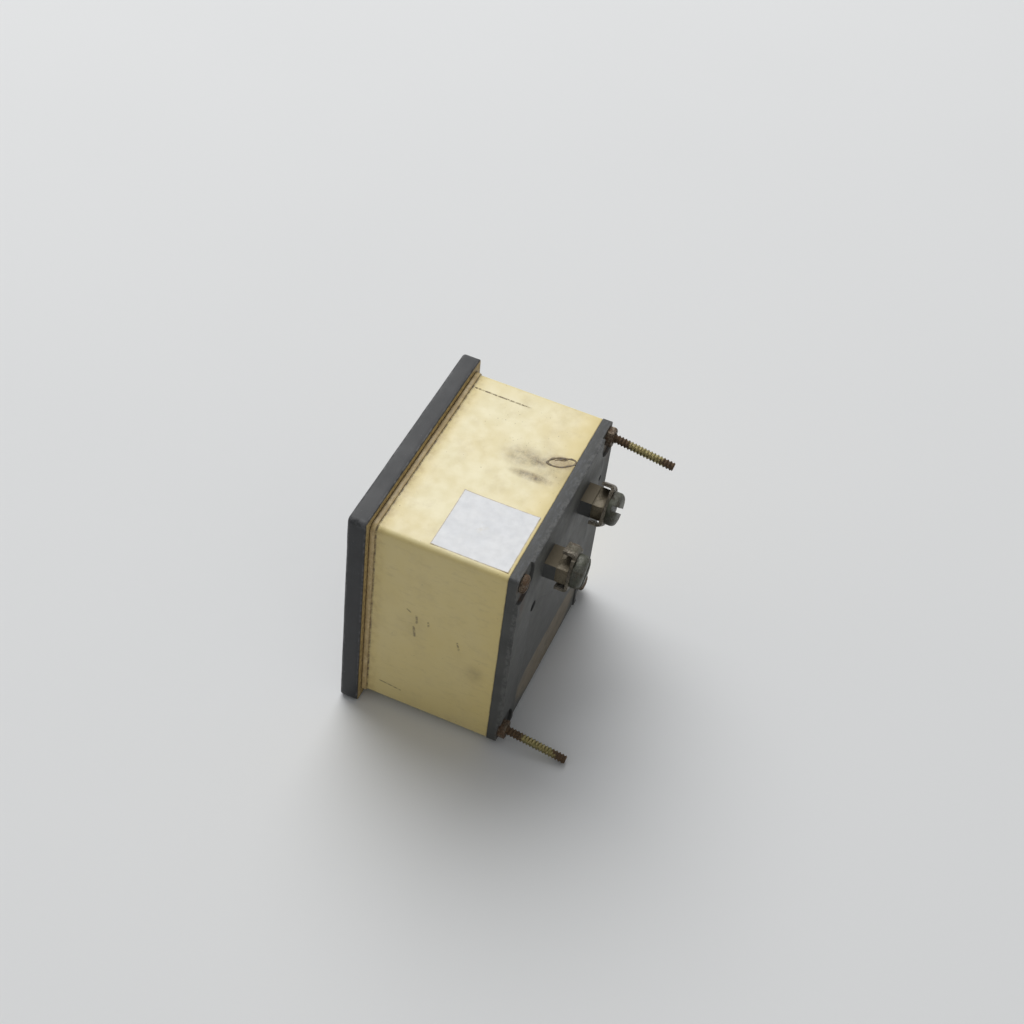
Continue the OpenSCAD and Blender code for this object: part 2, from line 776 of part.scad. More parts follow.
// Insulated post that holds the rear hairspring's outer end
module rear_spring_post() {
    color("#b79b57")
        translate([-spring_post_r * cos(45), 0, axis_z + spring_post_r * sin(45)]) {
            bar_y(0.7, rear_spring_y - 0.2, chassis_y);
            bar_y(3, chassis_y - 0.4, chassis_y + chassis_t + 0.4);
            bar_y(1.4, chassis_y + chassis_t, wire_y + 0.6);
        }
}

// Hub and arms behind the bridge, a crank forward past it, and a slim blade over the dial
module pointer() {
    color("#26282b") at_zero() {
        difference() {
            union() {
                bar_y(3, hub_y0, hub_y0 + hub_t);
                block(-0.4, 0.4, hub_y0, hub_y0 + 0.6, -weight_r, crank_r + 0.3);
                block(-weight_r, weight_r, hub_y0, hub_y0 + 0.6, -0.4, 0.4);
            }
            bar_y(staff_d + fit, hub_y0 - 1, hub_y0 + hub_t + 1);
        }
        block(-0.4, 0.4, pointer_y, hub_y0 + 0.6, crank_r - 0.3, crank_r + 0.3);
        along_y(pointer_y, pointer_y + 0.4)
            polygon([[-0.45, crank_r - 0.3], [0.45, crank_r - 0.3], [0.4, pointer_len - 7],
                [0.12, pointer_len], [-0.12, pointer_len], [-0.4, pointer_len - 7]]);
    }
}

// Three weights on the pointer's arms: a large one on its tail, a small one at each side
module balance_weights() {
    color("#b08c45") at_zero() {
        difference() {
            bar_y(tail_weight_d, hub_y0 - 0.35, hub_y0 + 1.35, 0, -weight_r + tail_weight_d / 2);
            block(-0.4, 0.4, hub_y0, hub_y0 + 0.6, -weight_r - 1, 0);
        }
        for (x = [-1, 1]) difference() {
            bar_y(1.8, hub_y0 - 0.2, hub_y0 + 0.8, x * (weight_r - 0.9));
            translate([x * (weight_r - 0.9), hub_y0 + 0.3, 0]) cube([2.4, 0.6, 0.8], center = true);
        }
    }
}

// Lever on the front bearing screw: fork below for the adjuster's pin, tab behind for the spring
module zero_lever() {
    color("#b79b57") translate([0, 0, axis_z]) difference() {
        union() {
            bar_y(5.6, lever_y, lever_y + lever_t);
            block(-1.2, 1.2, lever_y, lever_y + lever_t, -lever_len, -2);
            block(-1.8, 1.8, lever_y, lever_y + lever_t, -lever_len - 1.4, -lever_len + 2);
            block(-0.7, 0.7, lever_y, front_spring_y + spring_t, -spring_post_r - 0.35, -spring_post_r + 0.35);
        }
        bar_y(jewel_d + 2 * run, lever_y - 1, lever_y + 2);
        block(-pin_d / 2 - fit, pin_d / 2 + fit, lever_y - 1, lever_y + 2, -lever_len - 3, -lever_len + 0.9);
    }
}

// Slotted head on the bezel's front, with an eccentric pin that moves the lever
module zero_adjuster() {
    color("#35383c") translate([0, 0, adjuster_z]) {
        difference() {
            union() {
                bar_y(adjuster_d, -bezel_t - fit - 1.4, -bezel_t - fit);
                bar_y(4, -bezel_t - fit - eps, glass_y + 0.9);
            }
            translate([0, -bezel_t - 1.5, 0]) cube([adjuster_d + 1, 1.6, 1.1], center = true);
            difference() {
                bar_y(5, glass_y + 0.2, glass_y + 0.7);
                bar_y(3, glass_y, glass_y + 1);
            }
        }
        bar_y(pin_d, glass_y + 0.8, lever_y + lever_t + 0.2, 0, -pin_offset);
    }
}

// Open ring in the adjuster's groove, behind the bezel's front wall
module adjuster_clip() {
    color("#7f8388") translate([0, 0, adjuster_z]) difference() {
        bar_y(6.4, glass_y + 0.25, glass_y + 0.65);
        bar_y(3.1, glass_y - 1, glass_y + 2);
        block(-1.3, 1.3, glass_y - 1, glass_y + 2, 0, 4);
    }
}

// White scale plate with a round notch over the movement
module dial_plate() {
    color("#ece9dd") difference() {
        block(-dial_w / 2, dial_w / 2, dial_y, dial_y + dial_t, dial_bottom, dial_top);
        bar_y(2 * notch_r, dial_y - 1, dial_y + 2, 0, axis_z);
        for (x = [-1, 1]) bar_y(1.8, dial_y - 1, dial_y + 2, x * dial_screw_x, dial_screw_z);
    }
}

// Two round pillars from the chassis to the dial
module dial_pillars() {
    color("#a8925a") for (x = [-1, 1]) difference() {
        bar_y(pillar_d, dial_y + dial_t, chassis_y, x * dial_screw_x, dial_screw_z);
        bar_y(1.7, dial_y, dial_y + 7, x * dial_screw_x, dial_screw_z);
    }
}

module dial_screws() {
    color("#9a9a92") for (x = [-1, 1]) translate([x * dial_screw_x, dial_y, dial_screw_z]) mirror([0, 1, 0])
        slotted_screw(dial_screw_d, dial_screw_len, dial_head_d, dial_head_t, 0.5, 25);
}

// Two pins on the dial that stop the pointer just past each end of the scale
module pointer_stops() {
    color("#b0b0a8") for (s = [-1, 1])
        bar_y(1, pointer_y - 0.5, dial_y, s * stop_r * sin(stop_angle), axis_z + stop_r * cos(stop_angle));
}

front_bezel();
window_glass();
seal_strip();
case_shell();
rear_plate();
blank_label();
upper_mounting_stud();
lower_mounting_stud();
upper_stud_nut();
lower_stud_nut();
upper_case_screw();
lower_case_screw();
terminal_post_left();
terminal_post_right();
clamp_washer_left();
clamp_washer_right();
terminal_screw_left();
terminal_screw_right();
terminal_nut_left();
terminal_nut_right();
solder_lug_left();
solder_lug_right();
shunt_resistor();
shunt_lead_left();
shunt_lead_right();
hookup_wire_left();
hookup_wire_right();
chassis_plate();
chassis_screws();
yoke_ring();
core_magnet();
front_core_bracket();
rear_core_bracket();
front_spacers();
rear_spacers();
tie_screws();
front_bridge();
front_jewel_screw();
rear_jewel_screw();
coil_former();
coil_winding();
front_pivot();
rear_pivot();
front_hairspring();
rear_hairspring();
rear_spring_post();
pointer();
balance_weights();
zero_lever();
zero_adjuster();
adjuster_clip();
dial_plate();
dial_pillars();
dial_screws();
pointer_stops();
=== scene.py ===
"""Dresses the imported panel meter: worn plastic, rust, threads, a printed dial, a pale floor and soft light.

All sizes are in millimetres in this script and become metres where a mesh, lamp or camera is made.
The meter's front faces -Y, its terminals +Y, and +Z is up. The origin is the middle of the bezel's rear face.
"""

import json
import math

import bmesh
import bpy
from mathutils import Matrix, Vector, noise

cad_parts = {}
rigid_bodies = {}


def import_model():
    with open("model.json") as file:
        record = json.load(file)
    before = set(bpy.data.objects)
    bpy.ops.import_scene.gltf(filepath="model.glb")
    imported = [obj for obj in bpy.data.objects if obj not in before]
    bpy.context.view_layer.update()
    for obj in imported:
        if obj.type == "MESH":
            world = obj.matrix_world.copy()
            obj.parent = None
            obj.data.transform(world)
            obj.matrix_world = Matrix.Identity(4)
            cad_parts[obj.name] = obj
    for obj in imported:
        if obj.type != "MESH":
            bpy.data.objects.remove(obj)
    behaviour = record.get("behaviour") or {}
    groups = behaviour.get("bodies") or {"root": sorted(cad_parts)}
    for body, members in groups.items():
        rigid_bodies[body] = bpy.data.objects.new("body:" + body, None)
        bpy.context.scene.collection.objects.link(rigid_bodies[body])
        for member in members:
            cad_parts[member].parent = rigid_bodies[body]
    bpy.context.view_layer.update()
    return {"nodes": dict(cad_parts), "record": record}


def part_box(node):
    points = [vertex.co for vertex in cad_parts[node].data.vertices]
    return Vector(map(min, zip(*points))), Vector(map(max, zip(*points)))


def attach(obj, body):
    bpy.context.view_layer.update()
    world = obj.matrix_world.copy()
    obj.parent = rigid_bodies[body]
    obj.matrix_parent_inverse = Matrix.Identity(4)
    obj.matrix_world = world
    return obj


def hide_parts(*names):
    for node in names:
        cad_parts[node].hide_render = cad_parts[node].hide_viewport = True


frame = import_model()

MM = 0.001
NODES = frame["nodes"]
SLOT_OF = {s["node"]: s["material_slot"] for s in frame["record"]["subparts"]}
BODY_OF = {n: b for b, ns in frame["record"]["behaviour"]["bodies"].items() for n in ns}


def box_mm(node):
    """A CAD node's box as ((low x, y, z), (high x, y, z)) in millimetres."""
    low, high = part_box(node)
    return [c / MM for c in low], [c / MM for c in high]


# ---------------------------------------------------------------- materials

class Paint:
    """Builds one procedural material. Positions are the piece's own, in millimetres."""

    def __init__(self, name):
        self.material = bpy.data.materials.new(name)
        self.material.use_nodes = True
        self.tree = self.material.node_tree
        self.shader = self.tree.nodes["Principled BSDF"]
        where = self.tree.nodes.new("ShaderNodeTexCoord")
        scale = self.tree.nodes.new("ShaderNodeVectorMath")
        scale.operation = "SCALE"
        self.tree.links.new(where.outputs["Object"], scale.inputs[0])
        scale.inputs["Scale"].default_value = 1 / MM
        self.position = scale.outputs["Vector"]
        split = self.tree.nodes.new("ShaderNodeSeparateXYZ")
        self.tree.links.new(self.position, split.inputs[0])
        self.x, self.y, self.z = split.outputs
        facing = self.tree.nodes.new("ShaderNodeNewGeometry")
        turned = self.tree.nodes.new("ShaderNodeSeparateXYZ")
        self.tree.links.new(where.outputs["Normal"], turned.inputs[0])
        self.nx, self.ny, self.nz = turned.outputs
        self.tree.nodes.remove(facing)

    def put(self, socket, value):
        """Links an output to a socket, or sets the socket to a number or colour."""
        if isinstance(value, bpy.types.NodeSocket):
            self.tree.links.new(value, socket)
        elif isinstance(value, (tuple, list)) and len(value) == 3 and socket.type == "RGBA":
            socket.default_value = (*value, 1)
        else:
            socket.default_value = value

    def math(self, kind, a, b=0.0, clamp=False):
        node = self.tree.nodes.new("ShaderNodeMath")
        node.operation = kind
        node.use_clamp = clamp
        self.put(node.inputs[0], a)
        self.put(node.inputs[1], b)
        return node.outputs[0]

    def add(self, a, b):
        return self.math("ADD", a, b)

    def mul(self, a, b):
        return self.math("MULTIPLY", a, b)

    def top(self, a, b):
        return self.math("MAXIMUM", a, b)

    def ramp(self, value, low, high, out_low=0.0, out_high=1.0):
        """Value from low to high as out_low to out_high, smoothly and clamped."""
        node = self.tree.nodes.new("ShaderNodeMapRange")
        node.interpolation_type = "SMOOTHSTEP"
        self.put(node.inputs["Value"], value)
        for name, v in (("From Min", low), ("From Max", high), ("To Min", out_low), ("To Max", out_high)):
            node.inputs[name].default_value = v
        return node.outputs["Result"]

    def stretch(self, sx, sy, sz):
        """The position scaled along each axis, for streaks."""
        node = self.tree.nodes.new("ShaderNodeVectorMath")
        node.operation = "MULTIPLY"
        self.put(node.inputs[0], self.position)
        node.inputs[1].default_value = (sx, sy, sz)
        return node.outputs["Vector"]

    def noise(self, size, detail=4.0, rough=0.55, at=None, lumps=0.0):
        """Noise whose features are about size millimetres across, from 0 to 1."""
        node = self.tree.nodes.new("ShaderNodeTexNoise")
        self.put(node.inputs["Vector"], at or self.position)
        node.inputs["Scale"].default_value = 1 / size
        node.inputs["Detail"].default_value = detail
        node.inputs["Roughness"].default_value = rough
        node.inputs["Distortion"].default_value = lumps
        return node.outputs["Fac"]

    def specks(self, size, low, high, at=None):
        """Small round spots: 1 in a spot's middle, 0 between spots."""
        node = self.tree.nodes.new("ShaderNodeTexVoronoi")
        self.put(node.inputs["Vector"], at or self.position)
        node.inputs["Scale"].default_value = 1 / size
        return self.ramp(node.outputs["Distance"], low, high, 1.0, 0.0)

    def near(self, centre, radii, soft=1.0):
        """1 inside an ellipsoid about a point, falling to 0 past its edge; None leaves an axis out."""
        total = None
        for value, c, r in zip((self.x, self.y, self.z), centre, radii):
            if r is None:
                continue
            d = self.math("DIVIDE", self.math("SUBTRACT", value, c), r)
            d = self.mul(d, d)
            total = d if total is None else self.add(total, d)
        return self.ramp(self.math("SQRT", total), 1 - soft, 1 + soft * 0.3, 1.0, 0.0)

    def segment(self, start, end, width):
        """1 on a line between two points, given as (axis index, value) pairs over two axes."""
        axes = (self.x, self.y, self.z)
        (i, a0), (j, b0) = start
        (_, a1), (_, b1) = end
        da, db = a1 - a0, b1 - b0
        size = da * da + db * db
        pa = self.math("SUBTRACT", axes[i], a0)
        pb = self.math("SUBTRACT", axes[j], b0)
        t = self.math("DIVIDE", self.add(self.mul(pa, da), self.mul(pb, db)), size, clamp=True)
        qa = self.math("SUBTRACT", pa, self.mul(t, da))
        qb = self.math("SUBTRACT", pb, self.mul(t, db))
        d = self.math("SQRT", self.add(self.mul(qa, qa), self.mul(qb, qb)))
        return self.ramp(d, width * 0.3, width, 1.0, 0.0)

    def blend(self, amount, a, b):
        """Colour a, turning to b as amount goes from 0 to 1."""
        node = self.tree.nodes.new("ShaderNodeMix")
        node.data_type = "RGBA"
        node.clamp_factor = True
        self.put(node.inputs["Factor"], amount)
        self.put(node.inputs["A"], a)
        self.put(node.inputs["B"], b)
        for s, v in ((node.inputs[6], a), (node.inputs[7], b)):
            self.put(s, v)
        return node.outputs[2]

    def bump(self, height, depth):
        """Adds fine relief, depth in millimetres, on top of any set before."""
        node = self.tree.nodes.new("ShaderNodeBump")
        node.inputs["Strength"].default_value = 1.0
        node.inputs["Distance"].default_value = depth * MM
        self.put(node.inputs["Height"], height)
        old = self.shader.inputs["Normal"]
        if old.links:
            self.put(node.inputs["Normal"], old.links[0].from_socket)
        self.put(old, node.outputs["Normal"])

    def finish(self, colour, rough, metal=None, more=None):
        """Sets the shader's main sockets, and any others by name, and returns the material."""
        self.put(self.shader.inputs["Base Color"], colour)
        self.put(self.shader.inputs["Roughness"], rough)
        if metal is not None:
            self.put(self.shader.inputs["Metallic"], metal)
        for name, value in (more or {}).items():
            self.put(self.shader.inputs[name], value)
        return self.material


def outer_edge(p, half, reach, axes="xz"):
    """Mask of a band near the long outer edges, where both named coordinates come near their limits."""
    a, b = (p.math("ABSOLUTE", getattr(p, n)) for n in axes)
    return p.ramp(p.math("MINIMUM", a, b), half - reach, half, 0.0, 1.0)


def bezel_material():
    p = Paint("scuffed_charcoal_plastic")
    cloudy = p.noise(9, 5)
    fine = p.noise(0.6, 6, 0.7)
    streak = p.noise(1.0, 6, 0.75, p.stretch(0.5, 3.0, 0.5))
    colour = p.blend(p.ramp(cloudy, 0.35, 0.7), (0.031, 0.032, 0.034), (0.045, 0.046, 0.048))
    scuff = p.mul(p.ramp(streak, 0.55, 0.72), p.ramp(p.noise(6, 4), 0.42, 0.62))
    colour = p.blend(p.mul(scuff, 0.5), colour, (0.12, 0.125, 0.135))
    # Pale rubbed line along the outer edges
    ax, az = p.math("ABSOLUTE", p.x), p.math("ABSOLUTE", p.z)
    rim = p.ramp(p.top(ax, az), 39.3, 39.9)
    corner = p.ramp(p.math("MINIMUM", ax, az), 37.5, 39.5)
    back_edge = p.mul(rim, p.ramp(p.math("ABSOLUTE", p.add(p.y, 0.15)), 0.15, 0.55, 1.0, 0.0))
    front_edge = p.mul(p.ramp(p.top(ax, az), 38.6, 39.3), p.ramp(p.y, -5.4, -4.9, 1.0, 0.0))
    rub = p.mul(p.top(p.top(back_edge, corner), front_edge), p.ramp(p.noise(2.2, 5, 0.7), 0.42, 0.66))
    colour = p.blend(p.mul(rub, 0.6), colour, (0.165, 0.165, 0.17))
    colour = p.blend(p.mul(p.specks(1.6, 0.05, 0.16), p.ramp(fine, 0.5, 0.7)), colour, (0.26, 0.25, 0.22))
    # Brown dirt on the back overhang
    behind = p.ramp(p.y, -0.22, -0.05)
    behind = p.mul(behind, p.ramp(p.top(ax, az), 39.8, 39.2))
    grime = p.blend(p.ramp(p.noise(1.4, 6, 0.7), 0.35, 0.68), (0.58, 0.44, 0.20), (0.25, 0.175, 0.075))
    colour = p.blend(p.mul(behind, 0.92), colour, grime)
    rough = p.add(p.ramp(cloudy, 0.3, 0.7, 0.40, 0.55), p.mul(scuff, 0.2))
    p.bump(p.noise(0.5, 4, 0.6), 0.03)
    p.bump(streak, 0.02)
    return p.finish(colour, rough, None, {"Specular IOR Level": 0.25})


def case_material():
    p = Paint("yellowed_cream_plastic")
    ax, az = p.math("ABSOLUTE", p.x), p.math("ABSOLUTE", p.z)
    cloudy = p.noise(16, 4, 0.5)
    fine = p.noise(0.8, 6, 0.7)
    colour = p.blend(p.ramp(cloudy, 0.3, 0.72), (0.83, 0.75, 0.475), (0.79, 0.68, 0.38))
    # Yellower towards both ends and along the long edges
    ends = p.top(p.ramp(p.y, 33, 42), p.ramp(p.y, 7, 1.5))
    colour = p.blend(p.mul(ends, 0.7), colour, (0.77, 0.62, 0.26))
    edge = p.ramp(p.math("MINIMUM", ax, az), 34.4, 36.6)
    colour = p.blend(p.mul(edge, 0.6), colour, (0.78, 0.66, 0.30))
    # Both side faces (±X) darker and browner: painted shade with a warm floor-bounce tint, set against the lit top
    side = p.ramp(p.math("ABSOLUTE", p.nx), 0.5, 0.9)
    colour = p.blend(p.mul(side, 0.8), colour, (0.64, 0.51, 0.20))
    # Grey-brown film of old dirt, worn away in patches
    film = p.mul(p.ramp(p.noise(7, 6, 0.66), 0.48, 0.74), 0.22)
    colour = p.blend(film, colour, (0.46, 0.36, 0.19))
    drag = p.ramp(p.noise(2.0, 6, 0.7, p.stretch(1, 0.35, 1.4)), 0.52, 0.76)
    colour = p.blend(p.mul(p.mul(side, drag), 0.35), colour, (0.42, 0.33, 0.17))
    dots = p.mul(p.specks(2.6, 0.03, 0.10), p.ramp(p.noise(5, 3), 0.5, 0.6))
    colour = p.blend(p.mul(dots, 0.7), colour, (0.30, 0.22, 0.12))
    # Dark line at the joint with the collar, and a dirty collar
    seam = p.top(p.ramp(p.math("ABSOLUTE", p.math("SUBTRACT", p.y, 1.85)), 0.10, 0.42, 1.0, 0.0),
                 p.ramp(p.y, 0.55, 0.1))
    collar = p.ramp(p.y, 1.95, 1.6)
    dirt = p.blend(p.ramp(p.noise(2.2, 6, 0.72), 0.36, 0.64), (0.62, 0.47, 0.24), (0.34, 0.225, 0.095))
    colour = p.blend(p.mul(collar, 0.75), colour, dirt)
    stain = p.mul(p.ramp(p.y, 5.5, 1.9), p.ramp(p.noise(2.6, 6, 0.7), 0.40, 0.66))
    colour = p.blend(p.mul(stain, 0.5), colour, (0.42, 0.29, 0.12))
    colour = p.blend(p.mul(seam, p.ramp(p.noise(1.7, 6, 0.75), 0.36, 0.62, 0.15, 0.95)), colour, (0.13, 0.09, 0.045))
    rear = p.mul(p.ramp(p.y, 41.75, 42.15), p.ramp(p.noise(3, 4), 0.35, 0.6, 0.3, 0.9))
    colour = p.blend(rear, colour, (0.36, 0.27, 0.12))
    # Marks on the top: crack, smudges and the scorched ring by the seam
    up = p.ramp(p.nz, 0.5, 0.9)
    warp = p.ramp(p.noise(2.2, 5, 0.7), 0.25, 0.65, 0.45, 1.0)
    smudge = p.top(p.near((-9.6, 31.6, 0), (3.4, 6.0, None), 0.9), p.near((-3.0, 33.0, 0), (2.3, 8.0, None), 0.8))
    smudge = p.top(smudge, p.mul(p.near((-9.5, 27.5, 0), (5.5, 7.5, None), 0.9), 0.7))
    smudge = p.top(smudge, p.mul(p.near((-8.0, 36.0, 0), (9.0, 9.0, None), 0.9), 0.45))
    mottle = p.blend(p.ramp(p.noise(1.3, 6, 0.75), 0.38, 0.62), (0.34, 0.25, 0.11), (0.15, 0.11, 0.05))
    colour = p.blend(p.mul(p.mul(smudge, warp), up), colour, mottle)
    ring = p.near((-12.4, 38.3, 0), (3.1, 4.8, None), 0.5)
    burnt = p.ramp(p.noise(0.8, 4), 0.3, 0.7, 0.6, 1.0)
    colour = p.blend(p.mul(p.mul(ring, up), burnt), colour, (0.38, 0.285, 0.145))
    crack = p.segment(((0, -29.9), (1, 2.2)), ((0, -29.6), (1, 21.0)), 0.42)
    crack = p.mul(crack, p.ramp(p.noise(1.1, 5, 0.8), 0.42, 0.60))
    colour = p.blend(p.mul(crack, up), colour, (0.16, 0.10, 0.06))
    peppery = p.mul(p.specks(1.3, 0.06, 0.16), p.near((-20, 24, 0), (13, 16, None), 0.8))
    colour = p.blend(p.mul(p.mul(peppery, up), p.ramp(p.noise(3, 3), 0.45, 0.62)), colour, (0.17, 0.125, 0.07))
    # Marks on the near side: short scratches, a smudge and a faint line
    right = p.ramp(p.nx, 0.5, 0.9)
    marks = None
    for y0, z0, y1, z1, w in ((16.1, 6.4, 16.3, 3.6, 0.55), (15.5, 1.4, 16.0, -2.4, 0.6), (19.9, 5.6, 20.1, 3.9, 0.45),
                              (29.5, 1.6, 30.2, -1.2, 0.5), (6.0, -29.2, 12.8, -30.1, 0.4), (13.0, 8.2, 14.1, 7.4, 0.35)):
        m = p.segment(((1, y0), (2, z0)), ((1, y1), (2, z1)), w)
        marks = m if marks is None else p.top(marks, m)
    marks = p.mul(marks, p.ramp(p.noise(0.9, 4, 0.7), 0.36, 0.55))
    colour = p.blend(p.mul(p.mul(marks, right), 0.8), colour, (0.17, 0.12, 0.06))
    side_smudge = p.top(p.near((0, 36, -9), (None, 3.5, 5.0), 0.9), p.mul(p.near((0, 15.5, 2), (None, 5.5, 6.5), 0.9), 0.5))
    colour = p.blend(p.mul(p.mul(p.mul(side_smudge, warp), right), 0.4), colour, (0.30, 0.22, 0.11))
    rough = p.ramp(p.noise(4, 4), 0.3, 0.7, 0.34, 0.50)
    p.bump(p.noise(0.9, 3, 0.5), 0.018)
    p.bump(p.mul(crack, up), -0.12)
    return p.finish(colour, rough)


def plate_material():
    p = Paint("dull_phenolic")
    ax, az = p.math("ABSOLUTE", p.x), p.math("ABSOLUTE", p.z)
    cloudy = p.noise(11, 5, 0.6)
    fine = p.noise(0.5, 6, 0.75)
    colour = p.blend(p.ramp(cloudy, 0.3, 0.7), (0.052, 0.053, 0.051), (0.080, 0.081, 0.077))
    # Dust that lies thicker on the upper half of the rear face
    dust = p.mul(p.ramp(p.z, -30, 34, 0.25, 1.0), p.ramp(p.noise(5, 6, 0.7), 0.36, 0.7))
    dust = p.mul(dust, p.ramp(p.ny, 0.3, 0.8))
    colour = p.blend(p.mul(dust, 0.38), colour, (0.165, 0.165, 0.14))
    # Bluish-white streaks on the up-facing faces: a painted sky sheen on the lit top, broken up by real scuffs
    scrape = p.ramp(p.noise(1.2, 6, 0.8, p.stretch(0.5, 1.6, 1.0)), 0.46, 0.70)
    top_sheen_and_scuffs = p.mul(p.ramp(p.nz, 0.5, 0.9), scrape)
    colour = p.blend(p.mul(top_sheen_and_scuffs, 0.42), colour, (0.15, 0.16, 0.185))
    rim = p.mul(p.mul(p.ramp(p.top(ax, az), 36.0, 36.8), p.ramp(p.y, 44.3, 45.1)), p.ramp(p.noise(1.5, 5, 0.7), 0.44, 0.6))
    colour = p.blend(p.mul(rim, 0.4), colour, (0.17, 0.17, 0.165))
    # Tan dust in the lower recess, rust streaks below the upper fasteners
    recess = p.mul(p.near((0, 45.7, -28.5), (26.5, 0.35, 9.6), 0.25), p.ramp(p.noise(3, 5), 0.25, 0.6, 0.55, 1.0))
    colour = p.blend(p.mul(recess, 0.85), colour, (0.20, 0.165, 0.115))
    for x, z, long in ((-33.4, 33.4, 9.0), (33.4, 33.4, 11.0), (33.4, -33.4, 3.5), (-33.4, -33.4, 3.5)):
        run = p.near((x, 0, z - long * 0.45), (2.3, None, long), 0.8)
        spot = p.near((x, 0, z), (4.2, None, 4.2), 0.5)
        rust = p.mul(p.top(run, spot), p.ramp(p.noise(1.6, 6, 0.7), 0.35, 0.62))
        rust = p.mul(rust, p.ramp(p.y, 44.6, 45.1))
        colour = p.blend(p.mul(rust, 0.75), colour, (0.085, 0.050, 0.028))
    # Near-black short line painted on the face just below the upper stud's nut
    dark_mark_below_nut = p.mul(p.segment(((0, -28.4), (2, 31.2)), ((0, -28.9), (2, 24.5)), 0.75), p.ramp(p.y, 45.6, 46.0))
    colour = p.blend(p.mul(dark_mark_below_nut, 0.8), colour, (0.022, 0.020, 0.018))
    feet = p.mul(p.mul(p.ramp(p.nz, 0.5, 0.9), p.ramp(p.y, 46.1, 46.6)), p.near((0, 0, 27.4), (None, None, 1.2), 0.4))
    colour = p.blend(p.mul(feet, 0.85), colour, (0.22, 0.18, 0.115))
    rough = p.ramp(cloudy, 0.3, 0.7, 0.48, 0.66)
    p.bump(fine, 0.025)
    p.bump(p.noise(2.5, 3), 0.04)
    return p.finish(colour, rough, None, {"Specular IOR Level": 0.25})


def rust_material(name, base, dark, orange, amount, metal=0.55, grain=0.9, rough=0.62, extra=None):
    """Old steel or brass that has corroded: bare patches, dark scale and powdery rust."""
    p = Paint(name)
    patch = p.noise(grain * 2.4, 6, 0.68)
    fine = p.noise(grain * 0.5, 6, 0.75)
    colour = p.blend(p.ramp(fine, 0.3, 0.7), base, dark)
    if extra:
        colour = p.blend(p.mul(p.ramp(p.noise(grain * 3.1, 4), 0.45, 0.62), 0.8), colour, extra)
    gone = p.ramp(p.add(p.mul(patch, 0.7), p.mul(fine, 0.3)), 0.62 - amount * 0.35, 0.74 - amount * 0.35)
    colour = p.blend(gone, colour, p.blend(p.ramp(fine, 0.35, 0.65), orange, dark))
    p.bump(p.add(fine, p.mul(gone, 0.6)), 0.08)
    return p.finish(colour, p.ramp(gone, 0, 1, rough - 0.18, min(0.95, rough + 0.25)), p.ramp(gone, 0, 1, metal, 0.05))


def stud_material():
    """Yellow-passivated thread between rust at the nut and at the tip."""
    p = Paint("stud_thread")
    fine = p.noise(0.5, 6, 0.75)
    patch = p.noise(1.6, 5, 0.7)
    bare = p.blend(p.ramp(fine, 0.35, 0.65), (0.40, 0.35, 0.17), (0.17, 0.14, 0.06))
    bare = p.blend(p.ramp(patch, 0.52, 0.66), bare, (0.22, 0.22, 0.09))
    ends = p.top(p.ramp(p.y, 54.5, 50.5), p.ramp(p.y, 60.5, 66.0))
    rusty = p.ramp(p.add(patch, p.mul(ends, 0.42)), 0.62, 0.78)
    colour = p.blend(rusty, bare, p.blend(p.ramp(fine, 0.4, 0.62), (0.120, 0.070, 0.032), (0.050, 0.034, 0.020)))
    # Fine relief on the thread
    p.bump(fine, 0.05)
    return p.finish(colour, p.ramp(rusty, 0, 1, 0.38, 0.85), p.ramp(rusty, 0, 1, 0.75, 0.05))


def simple_material(name, a, b, size, rough, metal=0.0, grain=None, depth=0.01):
    """Two tones clouded together, with a fine grain that may run along one axis."""
    p = Paint(name)
    cloud = p.noise(size, 5, 0.6)
    lines = p.noise(size * 0.25, 5, 0.7, p.stretch(*grain) if grain else None)
    colour = p.blend(p.ramp(p.add(p.mul(cloud, 0.6), p.mul(lines, 0.4)), 0.35, 0.65), a, b)
    p.bump(lines, depth)
    return p.finish(colour, p.ramp(lines, 0.3, 0.7, max(0.05, rough - 0.07), rough + 0.08), metal)


def label_material():
    p = Paint("faded_label")
    (x0, y0, _), (x1, y1, _) = box_mm("blank_label")
    cx, cy, half = (x0 + x1) / 2, (y0 + y1) / 2, (x1 - x0) / 2
    edge = p.top(p.math("ABSOLUTE", p.math("SUBTRACT", p.x, cx)), p.math("ABSOLUTE", p.math("SUBTRACT", p.y, cy)))
    colour = p.blend(p.ramp(p.noise(5, 5), 0.35, 0.7), (0.690, 0.700, 0.715), (0.735, 0.740, 0.745))
    faint = p.mul(p.ramp(p.noise(2.4, 5, 0.7), 0.54, 0.70), p.near((cx - 1, cy - 3, 0), (7, 5, None), 0.9))
    colour = p.blend(p.mul(faint, 0.30), colour, (0.66, 0.58, 0.42))
    border = p.mul(p.ramp(edge, half - 0.55, half - 0.15), p.ramp(p.noise(1.2, 4), 0.3, 0.6, 0.5, 1.0))
    colour = p.blend(p.mul(border, 0.8), colour, (0.38, 0.285, 0.145))
    p.bump(p.noise(3, 4), 0.05)
    return p.finish(colour, p.ramp(p.noise(2, 4), 0.3, 0.7, 0.34, 0.52), 0.0)


def glass_material():
    p = Paint("window_glass_clear")
    film = p.ramp(p.noise(14, 5, 0.6), 0.35, 0.75)
    return p.finish(p.blend(film, (0.97, 0.985, 0.985), (0.90, 0.93, 0.93)), p.ramp(film, 0, 1, 0.02, 0.09),
                    None, {"Transmission Weight": 1.0, "IOR": 1.49})


